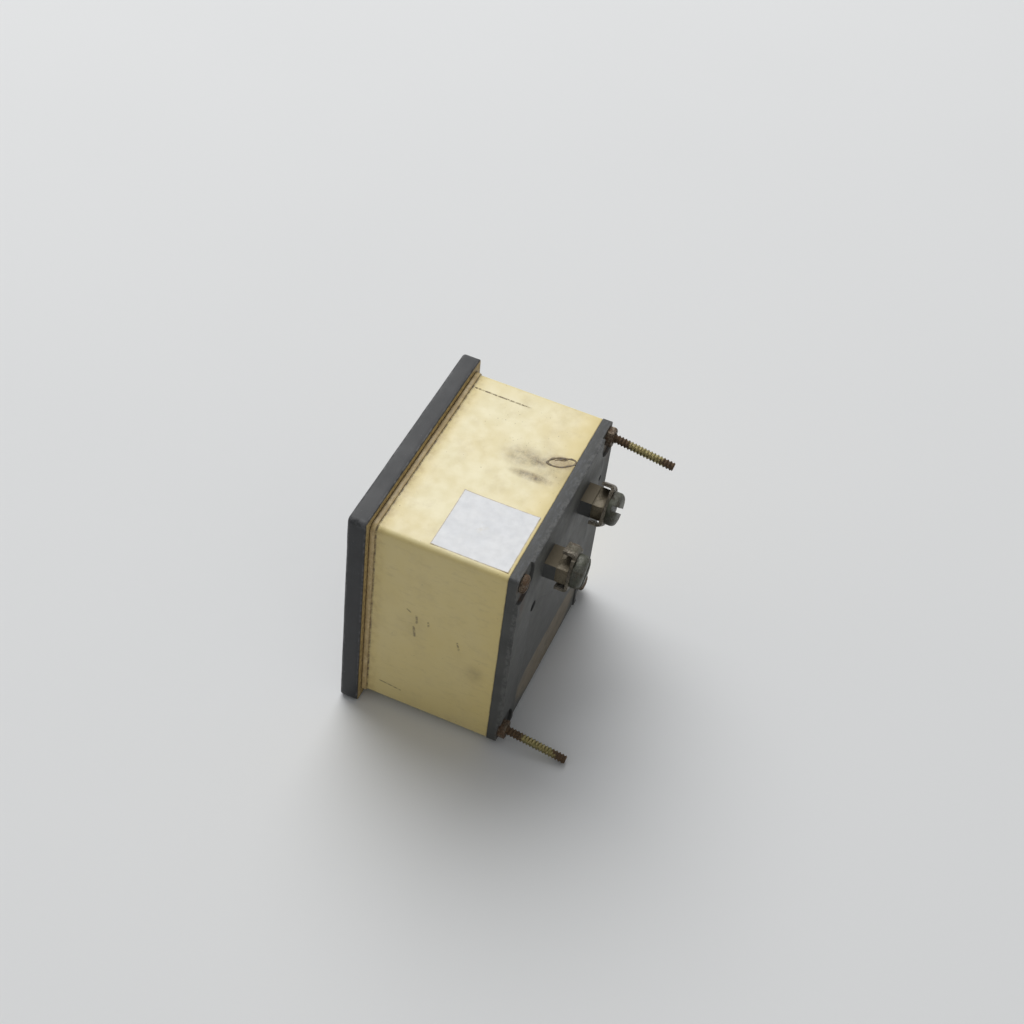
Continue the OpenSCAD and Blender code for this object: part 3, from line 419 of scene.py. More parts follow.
MATERIALS = {
    "bezel_plastic": bezel_material(),
    "clear_glass": glass_material(),
    "seal_cord": simple_material("perished_seal", (0.10, 0.065, 0.035), (0.17, 0.11, 0.06), 2, 0.85),
    "cream_case": case_material(),
    "rear_phenolic": plate_material(),
    "label_paper": label_material(),
    "stud_steel": stud_material(),
    "rusty_steel": rust_material("rusty_steel", (0.20, 0.16, 0.11), (0.055, 0.038, 0.026), (0.155, 0.085, 0.040), 0.5),
    "terminal_brass": rust_material("tarnished_terminal", (0.21, 0.175, 0.115), (0.12, 0.10, 0.066),
                                    (0.18, 0.15, 0.095), 0.4, 0.3),
    "clamp_steel": rust_material("corroded_clamp", (0.26, 0.225, 0.175), (0.080, 0.074, 0.058),
                                 (0.16, 0.125, 0.085), 0.45, 0.45, extra=(0.085, 0.080, 0.052)),
    "terminal_screw_steel": rust_material("corroded_screw", (0.105, 0.105, 0.080), (0.040, 0.041, 0.033),
                                          (0.095, 0.074, 0.046), 0.35, 0.25, extra=(0.050, 0.055, 0.034)),
    "tinned_lug": simple_material("tinned_lug", (0.66, 0.62, 0.54), (0.50, 0.46, 0.38), 2, 0.35, 0.9),
    "resistor_ceramic": simple_material("resistor_body", (0.30, 0.17, 0.10), (0.22, 0.12, 0.07), 1.5, 0.6),
    "copper_lead": simple_material("tinned_wire", (0.70, 0.42, 0.26), (0.60, 0.34, 0.20), 1, 0.3, 1.0),
    "red_wire": simple_material("red_insulation", (0.32, 0.05, 0.04), (0.24, 0.035, 0.03), 3, 0.45),
    "blue_wire": simple_material("blue_insulation", (0.04, 0.07, 0.26), (0.03, 0.05, 0.18), 3, 0.45),
    "frame_brass": simple_material("brushed_brass", (0.62, 0.47, 0.22), (0.50, 0.37, 0.16), 4, 0.34, 1.0, (1, 1, 9)),
    "small_screw_steel": simple_material("small_screw", (0.52, 0.52, 0.50), (0.40, 0.40, 0.385), 1.5, 0.36, 1.0),
    "yoke_iron": simple_material("ground_iron", (0.34, 0.345, 0.35), (0.25, 0.255, 0.26), 3, 0.42, 0.9, (1, 8, 1)),
    "magnet_alloy": simple_material("cast_magnet", (0.22, 0.225, 0.235), (0.15, 0.155, 0.165), 1.2, 0.5, 0.8, None, 0.05),
    "coil_aluminium": simple_material("coil_former_metal", (0.66, 0.67, 0.69), (0.55, 0.56, 0.58), 3, 0.32, 1.0, (9, 1, 1)),
    "coil_copper": simple_material("enamelled_copper", (0.46, 0.17, 0.06), (0.36, 0.12, 0.04), 1, 0.28, 0.9),
    "pivot_steel": simple_material("pivot_steel", (0.58, 0.59, 0.61), (0.50, 0.51, 0.53), 1, 0.22, 1.0),
    "spring_bronze": simple_material("spring_bronze", (0.64, 0.45, 0.20), (0.54, 0.36, 0.15), 1, 0.3, 1.0),
    "pointer_aluminium": simple_material("pointer_paint", (0.020, 0.020, 0.022), (0.034, 0.034, 0.036), 3, 0.5),
    "weight_brass": simple_material("weight_brass", (0.60, 0.46, 0.22), (0.48, 0.36, 0.16), 1.5, 0.35, 1.0),
    "dial_white": simple_material("dial_paint", (0.80, 0.785, 0.73), (0.76, 0.74, 0.67), 12, 0.42),
}


# ---------------------------------------------------------------- meshes

def mark_sharp(bm, angle=34):
    """Smooth shading with hard edges where faces meet at more than an angle."""
    for f in bm.faces:
        f.smooth = True
    for e in bm.edges:
        e.smooth = len(e.link_faces) == 2 and e.calc_face_angle(0) < math.radians(angle)


def keep(bm, name, slot, body, *nodes, material=None):
    """Makes a piece from bm, in millimetres, that rides on a body and stands for CAD nodes."""
    bm.normal_update()
    mark_sharp(bm)
    mesh = bpy.data.meshes.new(name)
    bmesh.ops.scale(bm, vec=(MM, MM, MM), verts=bm.verts)
    bm.to_mesh(mesh)
    bm.free()
    obj = bpy.data.objects.new(name, mesh)
    bpy.context.scene.collection.objects.link(obj)
    mesh.materials.append(material or MATERIALS[slot])
    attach(obj, body)
    if nodes:
        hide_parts(*nodes)
    return obj


def roughen(bm, amount, size, seed=0.0, where=None):
    """Moves vertices along their normals by smooth noise; where(co) may scale it."""
    bm.normal_update()
    for v in bm.verts:
        n = noise.fractal(v.co / size + Vector((seed, seed * 1.7, -seed)), 0.8, 2.1, 3)
        v.co += v.normal * n * amount * (where(v.co) if where else 1.0)


def from_node(node, bevel, segments=2, angle=32):
    """A CAD node's own shape with its flat faces merged and its hard edges rounded."""
    bm = bmesh.new()
    bm.from_mesh(NODES[node].data)
    bmesh.ops.scale(bm, vec=(1 / MM,) * 3, verts=bm.verts)
    bmesh.ops.remove_doubles(bm, verts=bm.verts, dist=0.002)
    bmesh.ops.dissolve_limit(bm, angle_limit=math.radians(1.0), verts=bm.verts, edges=bm.edges)
    if bevel:
        hard = [e for e in bm.edges if len(e.link_faces) == 2 and e.calc_face_angle(0) > math.radians(angle)]
        bmesh.ops.bevel(bm, geom=hard, offset=bevel, segments=segments, profile=0.5, affect="EDGES", clamp_overlap=True)
    return bm


def dress(node, bevel=0.15, segments=2, rough=0.0, size=1.0):
    """Replaces a CAD node by its own shape with rounded edges."""
    bm = from_node(node, bevel, segments)
    if rough:
        bmesh.ops.triangulate(bm, faces=[f for f in bm.faces if len(f.verts) > 4])
        bmesh.ops.subdivide_edges(bm, edges=[e for e in bm.edges if e.calc_length() > size], cuts=2, use_grid_fill=True)
        roughen(bm, rough, size)
    return keep(bm, node + "_look", SLOT_OF[node], BODY_OF[node], node)


def square_ring(half_x, half_z, radius, y, cx=0.0, cz=0.0, corner=6, side=14):
    """Points round a rectangle with round corners, in the plane of one y."""
    points = []
    radius = max(radius, 0.001)
    for k, (sx, sz) in enumerate(((1, 1), (-1, 1), (-1, -1), (1, -1))):
        mx, mz = cx + sx * (half_x - radius), cz + sz * (half_z - radius)
        start = math.radians(90 * k)
        arc = [Vector((mx + radius * math.cos(start + math.radians(90) * i / corner), y,
                       mz + radius * math.sin(start + math.radians(90) * i / corner))) for i in range(corner + 1)]
        if points:
            points += [points[-1].lerp(arc[0], i / side) for i in range(1, side)]
        points += arc
    last, first = points[-1], points[0]
    return points + [last.lerp(first, i / side) for i in range(1, side)]


def loft(bm, rings, loop=False):
    """Joins rings of points with quads, and the last ring to the first if loop."""
    rows = [[bm.verts.new(p) for p in ring] for ring in rings]
    n = len(rows[0])
    for a, b in zip(rows, rows[1:] + (rows[:1] if loop else [])):
        for i in range(n):
            bm.faces.new((a[i], a[(i + 1) % n], b[(i + 1) % n], b[i]))
    bmesh.ops.recalc_face_normals(bm, faces=bm.faces)
    return rows


def make_bezel():
    """Square frame with a window, rounded outside, with a shallow rebate for the case behind."""
    (x0, y0, _), (x1, y1, _) = box_mm("front_bezel")
    half = (x1 - x0) / 2
    glass_low, glass_high = box_mm("window_glass")
    lap = 1.4
    wx = glass_high[0] - lap
    wz0, wz1 = glass_low[2] + lap, glass_high[2] - lap
    wc, wh = (wz0 + wz1) / 2, (wz1 - wz0) / 2
    back_wall = glass_low[1]
    pocket = 35.5
    rebate = 37.5
    R = 1.6
    profile = []
    def outer(inset, y, r=R):
        profile.append(square_ring(half - inset, half - inset, max(r - inset, 0.3), y))
    def window(grow, y):
        profile.append(square_ring(wx + grow, wh + grow, 0.8 + grow, y, 0, wc))
    # From the window's front edge outward, round the rim, and back in to the window's rear edge
    window(0.0, back_wall)
    window(0.0, y0 + 0.5)
    window(0.15, y0 + 0.15)
    window(0.5, y0)
    for t in (0.86, 0.6, 0.35, 0.15):
        inner = square_ring(wx + 0.5, wh + 0.5, 1.3, y0, 0, wc)
        rim = square_ring(half - 1.3, half - 1.3, 0.8, y0)
        profile.append([b.lerp(a, t) for a, b in zip(inner, rim)])
    outer(1.2, y0)
    outer(0.75, y0 + 0.08)
    outer(0.35, y0 + 0.30)
    outer(0.10, y0 + 0.65)
    for t in (0.0, 0.25, 0.5, 0.75, 1.0):
        outer(0.0, y0 + 1.1 + t * (y1 - 0.45 - y0 - 1.1))
    outer(0.08, y1 - 0.2)
    outer(0.25, y1 - 0.06)
    outer(0.5, y1)
    outer(1.4, y1)
    profile.append(square_ring(rebate + 0.1, rebate + 0.1, 2.4, y1))
    profile.append(square_ring(rebate, rebate, 2.3, y1 - 0.1))
    profile.append(square_ring(rebate, rebate, 2.3, y1 - 0.4))
    profile.append(square_ring(pocket, pocket, 0.5, y1 - 0.4))
    profile.append(square_ring(pocket, pocket, 0.5, back_wall))
    bm = bmesh.new()
    loft(bm, profile, loop=True)
    # Small dents and soft waves, only near the outer rim
    def rim_only(co):
        return 1.0 if max(abs(co.x), abs(co.z)) > half - 1.35 else 0.0
    roughen(bm, 0.05, 9, 3, rim_only)
    roughen(bm, 0.06, 1.6, 7, lambda co: rim_only(co) * (1.0 if abs(co.y - y1) < 0.5 or co.y < y0 + 0.5 else 0.2))
    for v in bm.verts:
        v.co.x = max(-half, min(half, v.co.x))
        v.co.z = max(-half, min(half, v.co.z))
        v.co.y = max(y0, min(y1, v.co.y))
    keep(bm, "bezel_frame", "bezel_plastic", "meter_case", "front_bezel")


def make_case():
    """Box case with a front collar, slightly sunk faces and rounded long edges."""
    (_, y0, _), (x1, y1, _) = box_mm("case_shell")
    collar, half, r = x1, x1 - 0.5, 1.8
    profile = [square_ring(half - 2, half - 2, 0.4, y0)]
    profile.append(square_ring(collar - 0.12, collar - 0.12, r + 0.4, y0))
    profile.append(square_ring(collar, collar, r + 0.5, y0 + 0.12))
    profile.append(square_ring(collar, collar, r + 0.5, y0 + 1.45))
    profile.append(square_ring(collar - 0.1, collar - 0.1, r + 0.4, y0 + 1.64))
    profile.append(square_ring(collar - 0.3, collar - 0.3, r + 0.2, y0 + 1.7))
    profile.append(square_ring(half + 0.06, half + 0.06, r + 0.05, y0 + 1.74))
    steps = 14
    for i in range(steps + 1):
        y = y0 + 1.95 + (y1 - 0.25 - y0 - 1.95) * i / steps
        profile.append(square_ring(half, half, r, y))
    profile.append(square_ring(half - 0.07, half - 0.07, r - 0.05, y1 - 0.08))
    profile.append(square_ring(half - 0.25, half - 0.25, r - 0.2, y1))
    profile.append(square_ring(half - 2, half - 2, 0.4, y1))
    bm = bmesh.new()
    loft(bm, profile, loop=True)
    def outside(co):
        return 1.0 if max(abs(co.x), abs(co.z)) > half - 0.5 and co.y > y0 + 1.9 and co.y < y1 - 0.1 else 0.0
    roughen(bm, 0.05, 16, 11, outside)
    for v in bm.verts:
        if outside(v.co):
            # Moulding sink: each wall is a touch lower in its middle
            u = min(abs(v.co.x), abs(v.co.z)) / half
            sink = 0.10 * (1 - u * u) * math.sin(math.pi * (v.co.y - y0) / (y1 - y0))
            if abs(v.co.x) > abs(v.co.z):
                v.co.x -= math.copysign(sink, v.co.x)
            else:
                v.co.z -= math.copysign(sink, v.co.z)
    keep(bm, "case_box", "cream_case", "meter_case", "case_shell")


def make_label():
    """Thin label with slightly lifted corners and edges that are not quite straight."""
    (x0, y0, z0), (x1, y1, z1) = box_mm("blank_label")
    bm = bmesh.new()
    n = 28
    rows = []
    for layer in (0, 1):
        grid = []
        for i in range(n + 1):
            for j in range(n + 1):
                u, v = i / n, j / n
                corner = (2 * u - 1) ** 6 * (2 * v - 1) ** 6
                wave = noise.noise(Vector((u * 3.1, v * 3.1, 4.0)))
                lift = 0.22 * corner + 0.05 * max(0.0, wave) * (abs(2 * u - 1) ** 4 + abs(2 * v - 1) ** 4)
                wob = 0.06 * noise.noise(Vector((u * 9, v * 9, 1.0)))
                inset = 0.10
                grid.append(bm.verts.new((x0 + inset + u * (x1 - x0 - 2 * inset) + (wob if i in (0, n) else 0),
                                          y0 + inset + v * (y1 - y0 - 2 * inset) + (wob if j in (0, n) else 0),
                                          z0 - 0.06 + 0.10 * layer + lift)))
        rows.append(grid)
    at = lambda i, j: i * (n + 1) + j
    for i in range(n):
        for j in range(n):
            quad = [at(i, j), at(i + 1, j), at(i + 1, j + 1), at(i, j + 1)]
            bm.faces.new([rows[1][k] for k in quad])
            bm.faces.new([rows[0][k] for k in reversed(quad)])
    border = [at(i, 0) for i in range(n)] + [at(n, j) for j in range(n)] \
        + [at(i, n) for i in range(n, 0, -1)] + [at(0, j) for j in range(n, 0, -1)]
    for a, b in zip(border, border[1:] + border[:1]):
        bm.faces.new((rows[0][a], rows[0][b], rows[1][b], rows[1][a]))
    keep(bm, "label_sheet", "label_paper", "meter_case", "blank_label")


def make_stud(name, node, x, z):
    """Threaded stud: plain where the case hides it, a real helix behind the nut, bent down."""
    low, high = box_mm(node)
    radius, root, pitch = 1.5, 1.02, 1.08
    bend, bend_r, nut_y = math.radians(9), 4.0, 47.4
    arc = bend * bend_r
    start = low[1]
    straight = nut_y - start
    free = 19.4
    total = straight + arc + free
    bm = bmesh.new()
    around = 30

    def centre(s):
        """Point on the stud's axis and the axis's direction, s millimetres from its front end."""
        if s <= straight:
            return Vector((x, start + s, z)), Vector((0, 1, 0))
        if s <= straight + arc:
            a = (s - straight) / bend_r
            return Vector((x, nut_y + bend_r * math.sin(a), z - bend_r + bend_r * math.cos(a))), \
                Vector((0, math.cos(a), -math.sin(a)))
        t = s - straight - arc
        return Vector((x, nut_y + bend_r * math.sin(bend) + t * math.cos(bend),
                       z - bend_r + bend_r * math.cos(bend) - t * math.sin(bend))), \
            Vector((0, math.cos(bend), -math.sin(bend)))

    stations = [0.0, straight - 3.2]
    step = pitch / 9
    s = straight - 3.1
    while s < total - 0.42:
        stations.append(s)
        s += step
    stations += [total - 0.40, total - 0.2, total - 0.05]
    rings = []
    for s in stations:
        c, d = centre(s)
        side = Vector((1, 0, 0))
        up = side.cross(d)
        ring = []
        for k in range(around):
            a = 2 * math.pi * k / around
            r = root + 0.2
            if straight - 3.1 < s < total - 0.41:
                phase = (s / pitch - k / around) % 1.0
                crest = abs(2 * phase - 1) ** 0.85
                r = radius - (radius - root) * crest
                r += 0.035 * noise.noise(Vector((x + s * 1.9, k * 0.7, z)))
                r = min(r, radius)
            elif s >= total - 0.41:
                r = min(radius - 0.1, root + 0.33 - (s - total + 0.4) * 0.75)
            ring.append(c + side * math.cos(a) * r + up * math.sin(a) * r)
        rings.append(ring)
    rows = loft(bm, rings)
    bm.faces.new(rows[0])
    bm.faces.new(rows[-1])
    bmesh.ops.recalc_face_normals(bm, faces=bm.faces)
    keep(bm, name, "stud_steel", "meter_case", node)


def lathe(profile, around=48):
    """A solid turned about +Y from (radius, y) pairs, open at neither end."""
    bm = bmesh.new()
    rings = [[Vector((r * math.cos(2 * math.pi * k / around), y, r * math.sin(2 * math.pi * k / around)))
              for k in range(around)] for r, y in profile]
    rows = loft(bm, rings)
    bm.faces.new(rows[0])
    bm.faces.new(rows[-1])
    bmesh.ops.recalc_face_normals(bm, faces=bm.faces)
    return bm


def cut_slot(bm, width, depth_y, turn, far=20.0):
    """Cuts a straight slot across the +Y end of bm with a boolean, and returns the new bmesh."""
    mesh = bpy.data.meshes.new("cut_body")
    bm.to_mesh(mesh)
    bm.free()
    body = bpy.data.objects.new("cut_body", mesh)
    tool_mesh = bpy.data.meshes.new("cut_tool")
    tb = bmesh.new()
    bmesh.ops.create_cube(tb, size=1.0)
    bmesh.ops.scale(tb, vec=(far, 10.0, width), verts=tb.verts)
    bmesh.ops.translate(tb, vec=(0, depth_y + 5.0, 0), verts=tb.verts)
    bmesh.ops.rotate(tb, matrix=Matrix.Rotation(math.radians(turn), 3, "Y"), verts=tb.verts)
    tb.to_mesh(tool_mesh)
    tb.free()
    tool = bpy.data.objects.new("cut_tool", tool_mesh)
    for o in (body, tool):
        bpy.context.scene.collection.objects.link(o)
    cut = body.modifiers.new("slot", "BOOLEAN")
    cut.operation, cut.object, cut.solver = "DIFFERENCE", tool, "EXACT"
    bpy.context.view_layer.update()
    result = bmesh.new()
    evaluated = body.evaluated_get(bpy.context.evaluated_depsgraph_get())
    result.from_mesh(evaluated.to_mesh())
    evaluated.to_mesh_clear()
    for o in (body, tool):
        bpy.data.objects.remove(o)
    bmesh.ops.remove_doubles(result, verts=result.verts, dist=0.001)
    return result


def place(bm, x, y, z):
    bmesh.ops.translate(bm, vec=(x, y, z), verts=bm.verts)
    return bm


def soften(bm, bevel, angle=40, segments=2):
    """Rounds the hard edges of bm."""
    bm.normal_update()
    hard = [e for e in bm.edges if len(e.link_faces) == 2 and e.calc_face_angle(0) > math.radians(angle)]
    bmesh.ops.bevel(bm, geom=hard, offset=bevel, segments=segments, profile=0.5, affect="EDGES", clamp_overlap=True)
    return bm


def make_terminal_screw(node, x, turn):
    """Wide slotted head with a domed rim, pitted by corrosion, and its shank."""
    low, high = box_mm(node)
    seat, top, r = high[1] - 3.4, high[1], (high[0] - low[0]) / 2
    z = (low[2] + high[2]) / 2
    shank = 2.0
    profile = [(shank - 0.3, low[1] - seat), (shank, low[1] - seat + 0.4), (shank, -1.2), (shank, 0.0), (r - 0.45, 0.0),
               (r - 0.12, 0.12), (r, 0.45), (r, 1.1), (r, 1.75), (r - 0.06, 2.2), (r - 0.28, 2.65), (r - 0.7, 3.02),
               (r - 1.3, 3.26), (r - 2.1, 3.38), (r - 3.2, 3.4), (0.6, 3.4)]
    bm = cut_slot(lathe(profile, 56), 1.7, 1.25, turn)
    soften(bm, 0.14, 50)
    bmesh.ops.triangulate(bm, faces=[f for f in bm.faces if len(f.verts) > 4])
    bmesh.ops.subdivide_edges(bm, edges=[e for e in bm.edges if e.calc_length() > 0.9], cuts=2, use_grid_fill=True)
    roughen(bm, 0.07, 0.9, x)
    for v in bm.verts:
        v.co.y = min(v.co.y, top - seat)
        flat = math.hypot(v.co.x, v.co.z)
        if flat > r:
            v.co.x *= r / flat
            v.co.z *= r / flat
    place(bm, x, seat, z)
    keep(bm, node + "_look", "terminal_screw_steel", BODY_OF[node], node)


def make_case_screw(node, x, z):
    """Small rusty cheese head with a slot; its plain shank stays out of sight."""
    low, high = box_mm(node)
    head_r, seat = (high[0] - low[0]) / 2, high[1] - 1.8
    profile = [(1.2, low[1] - seat), (1.45, low[1] - seat + 0.5), (1.45, 0.0), (head_r - 0.2, 0.0), (head_r, 0.2),
               (head_r, 0.9), (head_r - 0.12, 1.3), (head_r - 0.5, 1.62), (head_r - 1.2, 1.78), (0.4, 1.8)]
    bm = cut_slot(lathe(profile, 40), 0.85, 0.85, 20)
    soften(bm, 0.08, 50)
    bmesh.ops.triangulate(bm, faces=[f for f in bm.faces if len(f.verts) > 4])
    bmesh.ops.subdivide_edges(bm, edges=[e for e in bm.edges if e.calc_length() > 0.6], cuts=1, use_grid_fill=True)
    roughen(bm, 0.06, 0.6, x + z)
    for v in bm.verts:
        v.co.y = min(v.co.y, 1.8)
    place(bm, x, seat, z)
    keep(bm, node + "_look", "rusty_steel", BODY_OF[node], node)


def make_nut(node, x, z):
    """Hexagon nut with chamfered corners, swollen by rust."""
    low, high = box_mm(node)
    af, y0, y1 = high[2] - low[2], low[1], high[1]
    across = min(high[0] - low[0], high[2] - low[2]) / 2
    around = 72
    corner = across / math.cos(math.radians(30))
    bm = bmesh.new()

    def ring(limit, y, inner=None):
        out = []
        for k in range(around):
            a = 2 * math.pi * k / around
            d = (a - math.pi / 2 + math.pi / 6) % (math.pi / 3) - math.pi / 6
            r = min(across / math.cos(d), limit) if inner is None else inner
            out.append(Vector((r * math.cos(a), y, r * math.sin(a))))
        return out

    h = y1 - y0
    rings = [ring(0, 0, 1.53), ring(across * 1.02, 0), ring(corner * 0.97, 0.18), ring(corner, 0.5), ring(corner, h * 0.5),
             ring(corner, h - 0.5), ring(corner * 0.97, h - 0.2), ring(across * 1.02, h), ring(across * 0.86, h),
             ring(0, h, 1.72), ring(0, h - 0.2, 1.53)]
    loft(bm, rings, loop=True)
    roughen(bm, 0.07, 0.7, x)
    for v in bm.verts:
        v.co.y = min(max(v.co.y, 0.0), h)
    place(bm, x, y0, z)
    keep(bm, node + "_look", "rusty_steel", BODY_OF[node], node)


def tube(bm, points, thick, closed):
    """A wrinkled half-sunk bead along points on the case's top."""
    around = 8
    rings = []
    n = len(points)
    for i, c in enumerate(points):
        before, after = points[i - 1 if i or closed else 0], points[(i + 1) % n if i < n - 1 or closed else i]
        out = (after - before).cross(Vector((0, 0, 1))).normalized()
        taper = 1.0 if closed else 0.25 + 0.75 * math.sin(math.pi * i / (n - 1))
        r = thick * taper * (1 + 0.45 * noise.noise(c * 0.9))
        rings.append([c + out * r * math.cos(b) + Vector((0, 0, 0.6 * r * math.sin(b)))
                      for b in (2 * math.pi * k / around for k in range(around))])
    rows = loft(bm, rings, loop=closed)
    if not closed:
        bm.faces.new(rows[0])
        bm.faces.new(rows[-1])


def make_burn_ring():
    """Lens-shaped lip of melted plastic round a scorched patch on the case's top, that runs to the rear seam."""
    centre, turn = Vector((-12.55, 38.15, 36.86)), math.radians(28)
    long, wide = 4.3, 1.9
    along = Vector((-math.sin(turn), math.cos(turn), 0))
    across = Vector((math.cos(turn), math.sin(turn), 0))

    def lens(a, shrink):
        n = noise.noise(Vector((math.cos(a) * 1.6, math.sin(a) * 1.6, 9)))
        side = math.copysign(abs(math.sin(a)) ** 1.15, math.sin(a))
        c = centre + along * long * math.cos(a) * shrink + across * wide * side * (shrink + 0.2 * n)
        c.y = min(c.y, 41.9)
        return c

    bm = bmesh.new()
    tube(bm, [lens(2 * math.pi * i / 84, 1.0) for i in range(84)], 0.36, True)
    tube(bm, [lens(math.pi * (1.22 + 0.55 * i / 30), 0.62) for i in range(31)], 0.34, False)
    p = Paint("scorched_lip")
    mix = p.ramp(p.noise(0.9, 5, 0.7), 0.35, 0.65)
    colour = p.blend(mix, (0.075, 0.052, 0.028), (0.24, 0.175, 0.085))
    keep(bm, "scorched_lip", "cream_case", "meter_case", material=p.finish(colour, p.ramp(mix, 0, 1, 0.45, 0.7)))


make_bezel()
make_case()
make_label()
make_burn_ring()
make_stud("upper_stud_thread", "upper_mounting_stud", -33.4, 33.4)
make_stud("lower_stud_thread", "lower_mounting_stud", 33.4, -33.4)
make_nut("upper_stud_nut", -33.4, 33.4)
make_nut("lower_stud_nut", 33.4, -33.4)
make_case_screw("upper_case_screw", 33.4, 33.4)
make_case_screw("lower_case_screw", -33.4, -33.4)
make_terminal_screw("terminal_screw_left", -14.1, -45)
make_terminal_screw("terminal_screw_right", 14.1, 42)
dress("rear_plate", 0.3, 3)
for side in ("left", "right"):
    dress("terminal_post_" + side, 0.25, 2, 0.04, 0.9)
    dress("clamp_washer_" + side, 0.16, 2, 0.05, 0.9)
BEVELS = {"window_glass": 0.15, "zero_adjuster": 0.25, "dial_plate": 0.08, "yoke_ring": 0.3, "core_magnet": 0.4,
          "chassis_plate": 0.15, "coil_winding": 0.25}
done = {s.name for s in bpy.data.objects}
for node in NODES:
    if not NODES[node].hide_render:
        dress(node, BEVELS.get(node, 0.06))


# ---------------------------------------------------------------- dial print

AXIS_Z = -19.0
DIAL_Y = 3.0


def flat_piece(name, polygons, y, material, body="meter_case"):
    """Thin printed shapes lying on a plane of one y, as one piece."""
    bm = bmesh.new()
    for poly in polygons:
        front = [bm.verts.new((px, y - 0.03, pz)) for px, pz in poly]
        back = [bm.verts.new((px, y + 0.01, pz)) for px, pz in poly]
        bm.faces.new(front)
        bm.faces.new(list(reversed(back)))
        for i in range(len(poly)):
            j = (i + 1) % len(poly)
            bm.faces.new((front[j], front[i], back[i], back[j]))
    bmesh.ops.recalc_face_normals(bm, faces=bm.faces)
    return keep(bm, name, "dial_white", body, material=material)


def polar(r, degrees, across=0.0):
    """Point at a radius and an angle from upright about the pointer's axis, shifted sideways."""
    a = math.radians(degrees)
    return r * math.sin(a) + across * math.cos(a), AXIS_Z + r * math.cos(a) - across * math.sin(a)


INK = simple_material("dial_ink", (0.018, 0.018, 0.020), (0.030, 0.030, 0.032), 1.5, 0.55)
shapes = []
for i in range(51):
    angle = -45 + 90 * i / 50
    size, width = (3.2, 0.42) if i % 10 == 0 else (2.3, 0.26) if i % 5 == 0 else (1.5, 0.16)
    shapes.append([polar(36.0, angle, -width / 2), polar(36.0, angle, width / 2),
                   polar(36.0 + size, angle, width / 2), polar(36.0 + size, angle, -width / 2)])
for i in range(60):
    a0, a1 = -45 + 90 * i / 60, -45 + 90 * (i + 1) / 60
    shapes.append([polar(35.75, a0), polar(36.05, a0), polar(36.05, a1), polar(35.75, a1)])
flat_piece("dial_scale", shapes, DIAL_Y, INK)

for i, text in enumerate(("0", "20", "40", "60", "80", "100")):
    curve = bpy.data.curves.new("dial_number", "FONT")
    curve.body, curve.size, curve.align_x, curve.align_y = text, 4.2, "CENTER", "CENTER"
    curve.extrude, curve.resolution_u = 0.02, 4
    helper = bpy.data.objects.new("dial_number", curve)
    bpy.context.scene.collection.objects.link(helper)
    bpy.context.view_layer.update()
    bm = bmesh.new()
    bm.from_mesh(helper.to_mesh())
    bpy.data.objects.remove(helper)
    angle = -45 + 18 * i
    px, pz = polar(42.0, angle)
    turn = Matrix.Rotation(math.radians(angle), 4, "Y") @ Matrix.Rotation(math.radians(90), 4, "X")
    bmesh.ops.transform(bm, matrix=Matrix.Translation((px, DIAL_Y - 0.01, pz)) @ turn, verts=bm.verts)
    keep(bm, "dial_number_" + text, "dial_white", "meter_case", material=INK)


# ---------------------------------------------------------------- stage

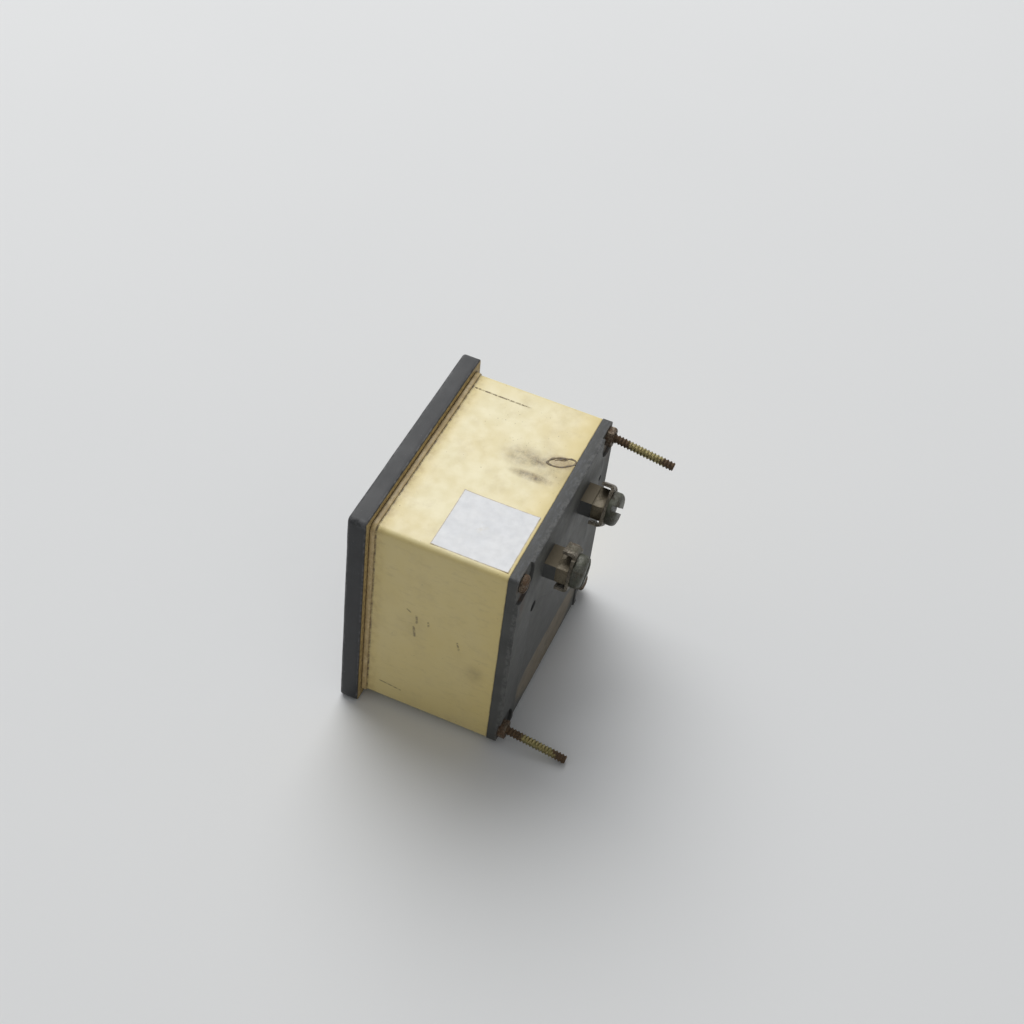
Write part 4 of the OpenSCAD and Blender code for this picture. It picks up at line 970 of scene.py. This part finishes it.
def stage():
    """Pale floor that the bezel's lower edge and the bent stud's tip stand on, soft lamps, and a plain world."""
    tilt = math.atan2(2.03, 66.95)
    half = 3.0
    bm = bmesh.new()
    bmesh.ops.create_grid(bm, x_segments=8, y_segments=8, size=half)
    bmesh.ops.rotate(bm, matrix=Matrix.Rotation(tilt, 3, "X"), verts=bm.verts)
    bmesh.ops.translate(bm, vec=(0, 0, -40.02 * MM), verts=bm.verts)
    mesh = bpy.data.meshes.new("floor")
    bm.to_mesh(mesh)
    bm.free()
    floor = bpy.data.objects.new("floor", mesh)
    bpy.context.scene.collection.objects.link(floor)
    p = Paint("pale_floor")
    colour = p.blend(p.noise(180, 2), (0.735, 0.742, 0.744), (0.760, 0.766, 0.768))
    mesh.materials.append(p.finish(colour, 0.75, 0.0, {"Specular IOR Level": 0.2}))

    world = bpy.data.worlds.new("studio")
    bpy.context.scene.world = world
    world.use_nodes = True
    tree = world.node_tree
    tree.nodes.clear()
    out = tree.nodes.new("ShaderNodeOutputWorld")
    light = tree.nodes.new("ShaderNodeBackground")
    light.inputs["Color"].default_value = (0.97, 0.985, 1.0, 1)
    light.inputs["Strength"].default_value = 0.29
    plain = tree.nodes.new("ShaderNodeBackground")
    plain.inputs["Color"].default_value = (0.74, 0.745, 0.75, 1)
    plain.inputs["Strength"].default_value = 1.0
    ray = tree.nodes.new("ShaderNodeLightPath")
    seen = tree.nodes.new("ShaderNodeMath")
    seen.operation, seen.use_clamp = "ADD", True
    tree.links.new(ray.outputs["Is Camera Ray"], seen.inputs[0])
    also = tree.nodes.new("ShaderNodeMath")
    also.operation, also.use_clamp = "ADD", True
    tree.links.new(ray.outputs["Is Glossy Ray"], also.inputs[0])
    tree.links.new(ray.outputs["Is Transmission Ray"], also.inputs[1])
    tree.links.new(also.outputs[0], seen.inputs[1])
    mix = tree.nodes.new("ShaderNodeMixShader")
    tree.links.new(seen.outputs[0], mix.inputs[0])
    tree.links.new(light.outputs[0], mix.inputs[1])
    tree.links.new(plain.outputs[0], mix.inputs[2])
    tree.links.new(mix.outputs[0], out.inputs[0])

    for name, direction, distance, size, power in (
            ("key", (-0.50, -0.42, 0.80), 3.0, 2.9, 82.0),
            ("fill", (0.70, 0.55, 0.55), 3.0, 2.4, 2.0)):
        lamp = bpy.data.lights.new(name, "AREA")
        lamp.shape, lamp.size, lamp.energy = "DISK", size, power
        obj = bpy.data.objects.new(name, lamp)
        d = Vector(direction).normalized()
        obj.location = d * distance
        obj.rotation_euler = d.to_track_quat("Z", "Y").to_euler()
        bpy.context.scene.collection.objects.link(obj)


def camera():
    """The photograph's view: from the right, behind and above."""
    right = Vector((-0.3907, 0.9156, 0.0951))
    down = Vector((0.6402, 0.3445, -0.6866))
    ahead = Vector((-0.6614, -0.2074, -0.7208))
    data = bpy.data.cameras.new("camera")
    data.sensor_width, data.lens = 36.0, 62.45
    data.clip_start, data.clip_end = 0.02, 20.0
    obj = bpy.data.objects.new("camera", data)
    turn = Matrix((right, -down, -ahead)).transposed().to_4x4()
    obj.matrix_world = Matrix.Translation(Vector((347.7, 138.0, 401.7)) * MM) @ turn
    bpy.context.scene.collection.objects.link(obj)
    bpy.context.scene.camera = obj


stage()
camera()
bpy.context.scene.view_settings.view_transform = "Standard"
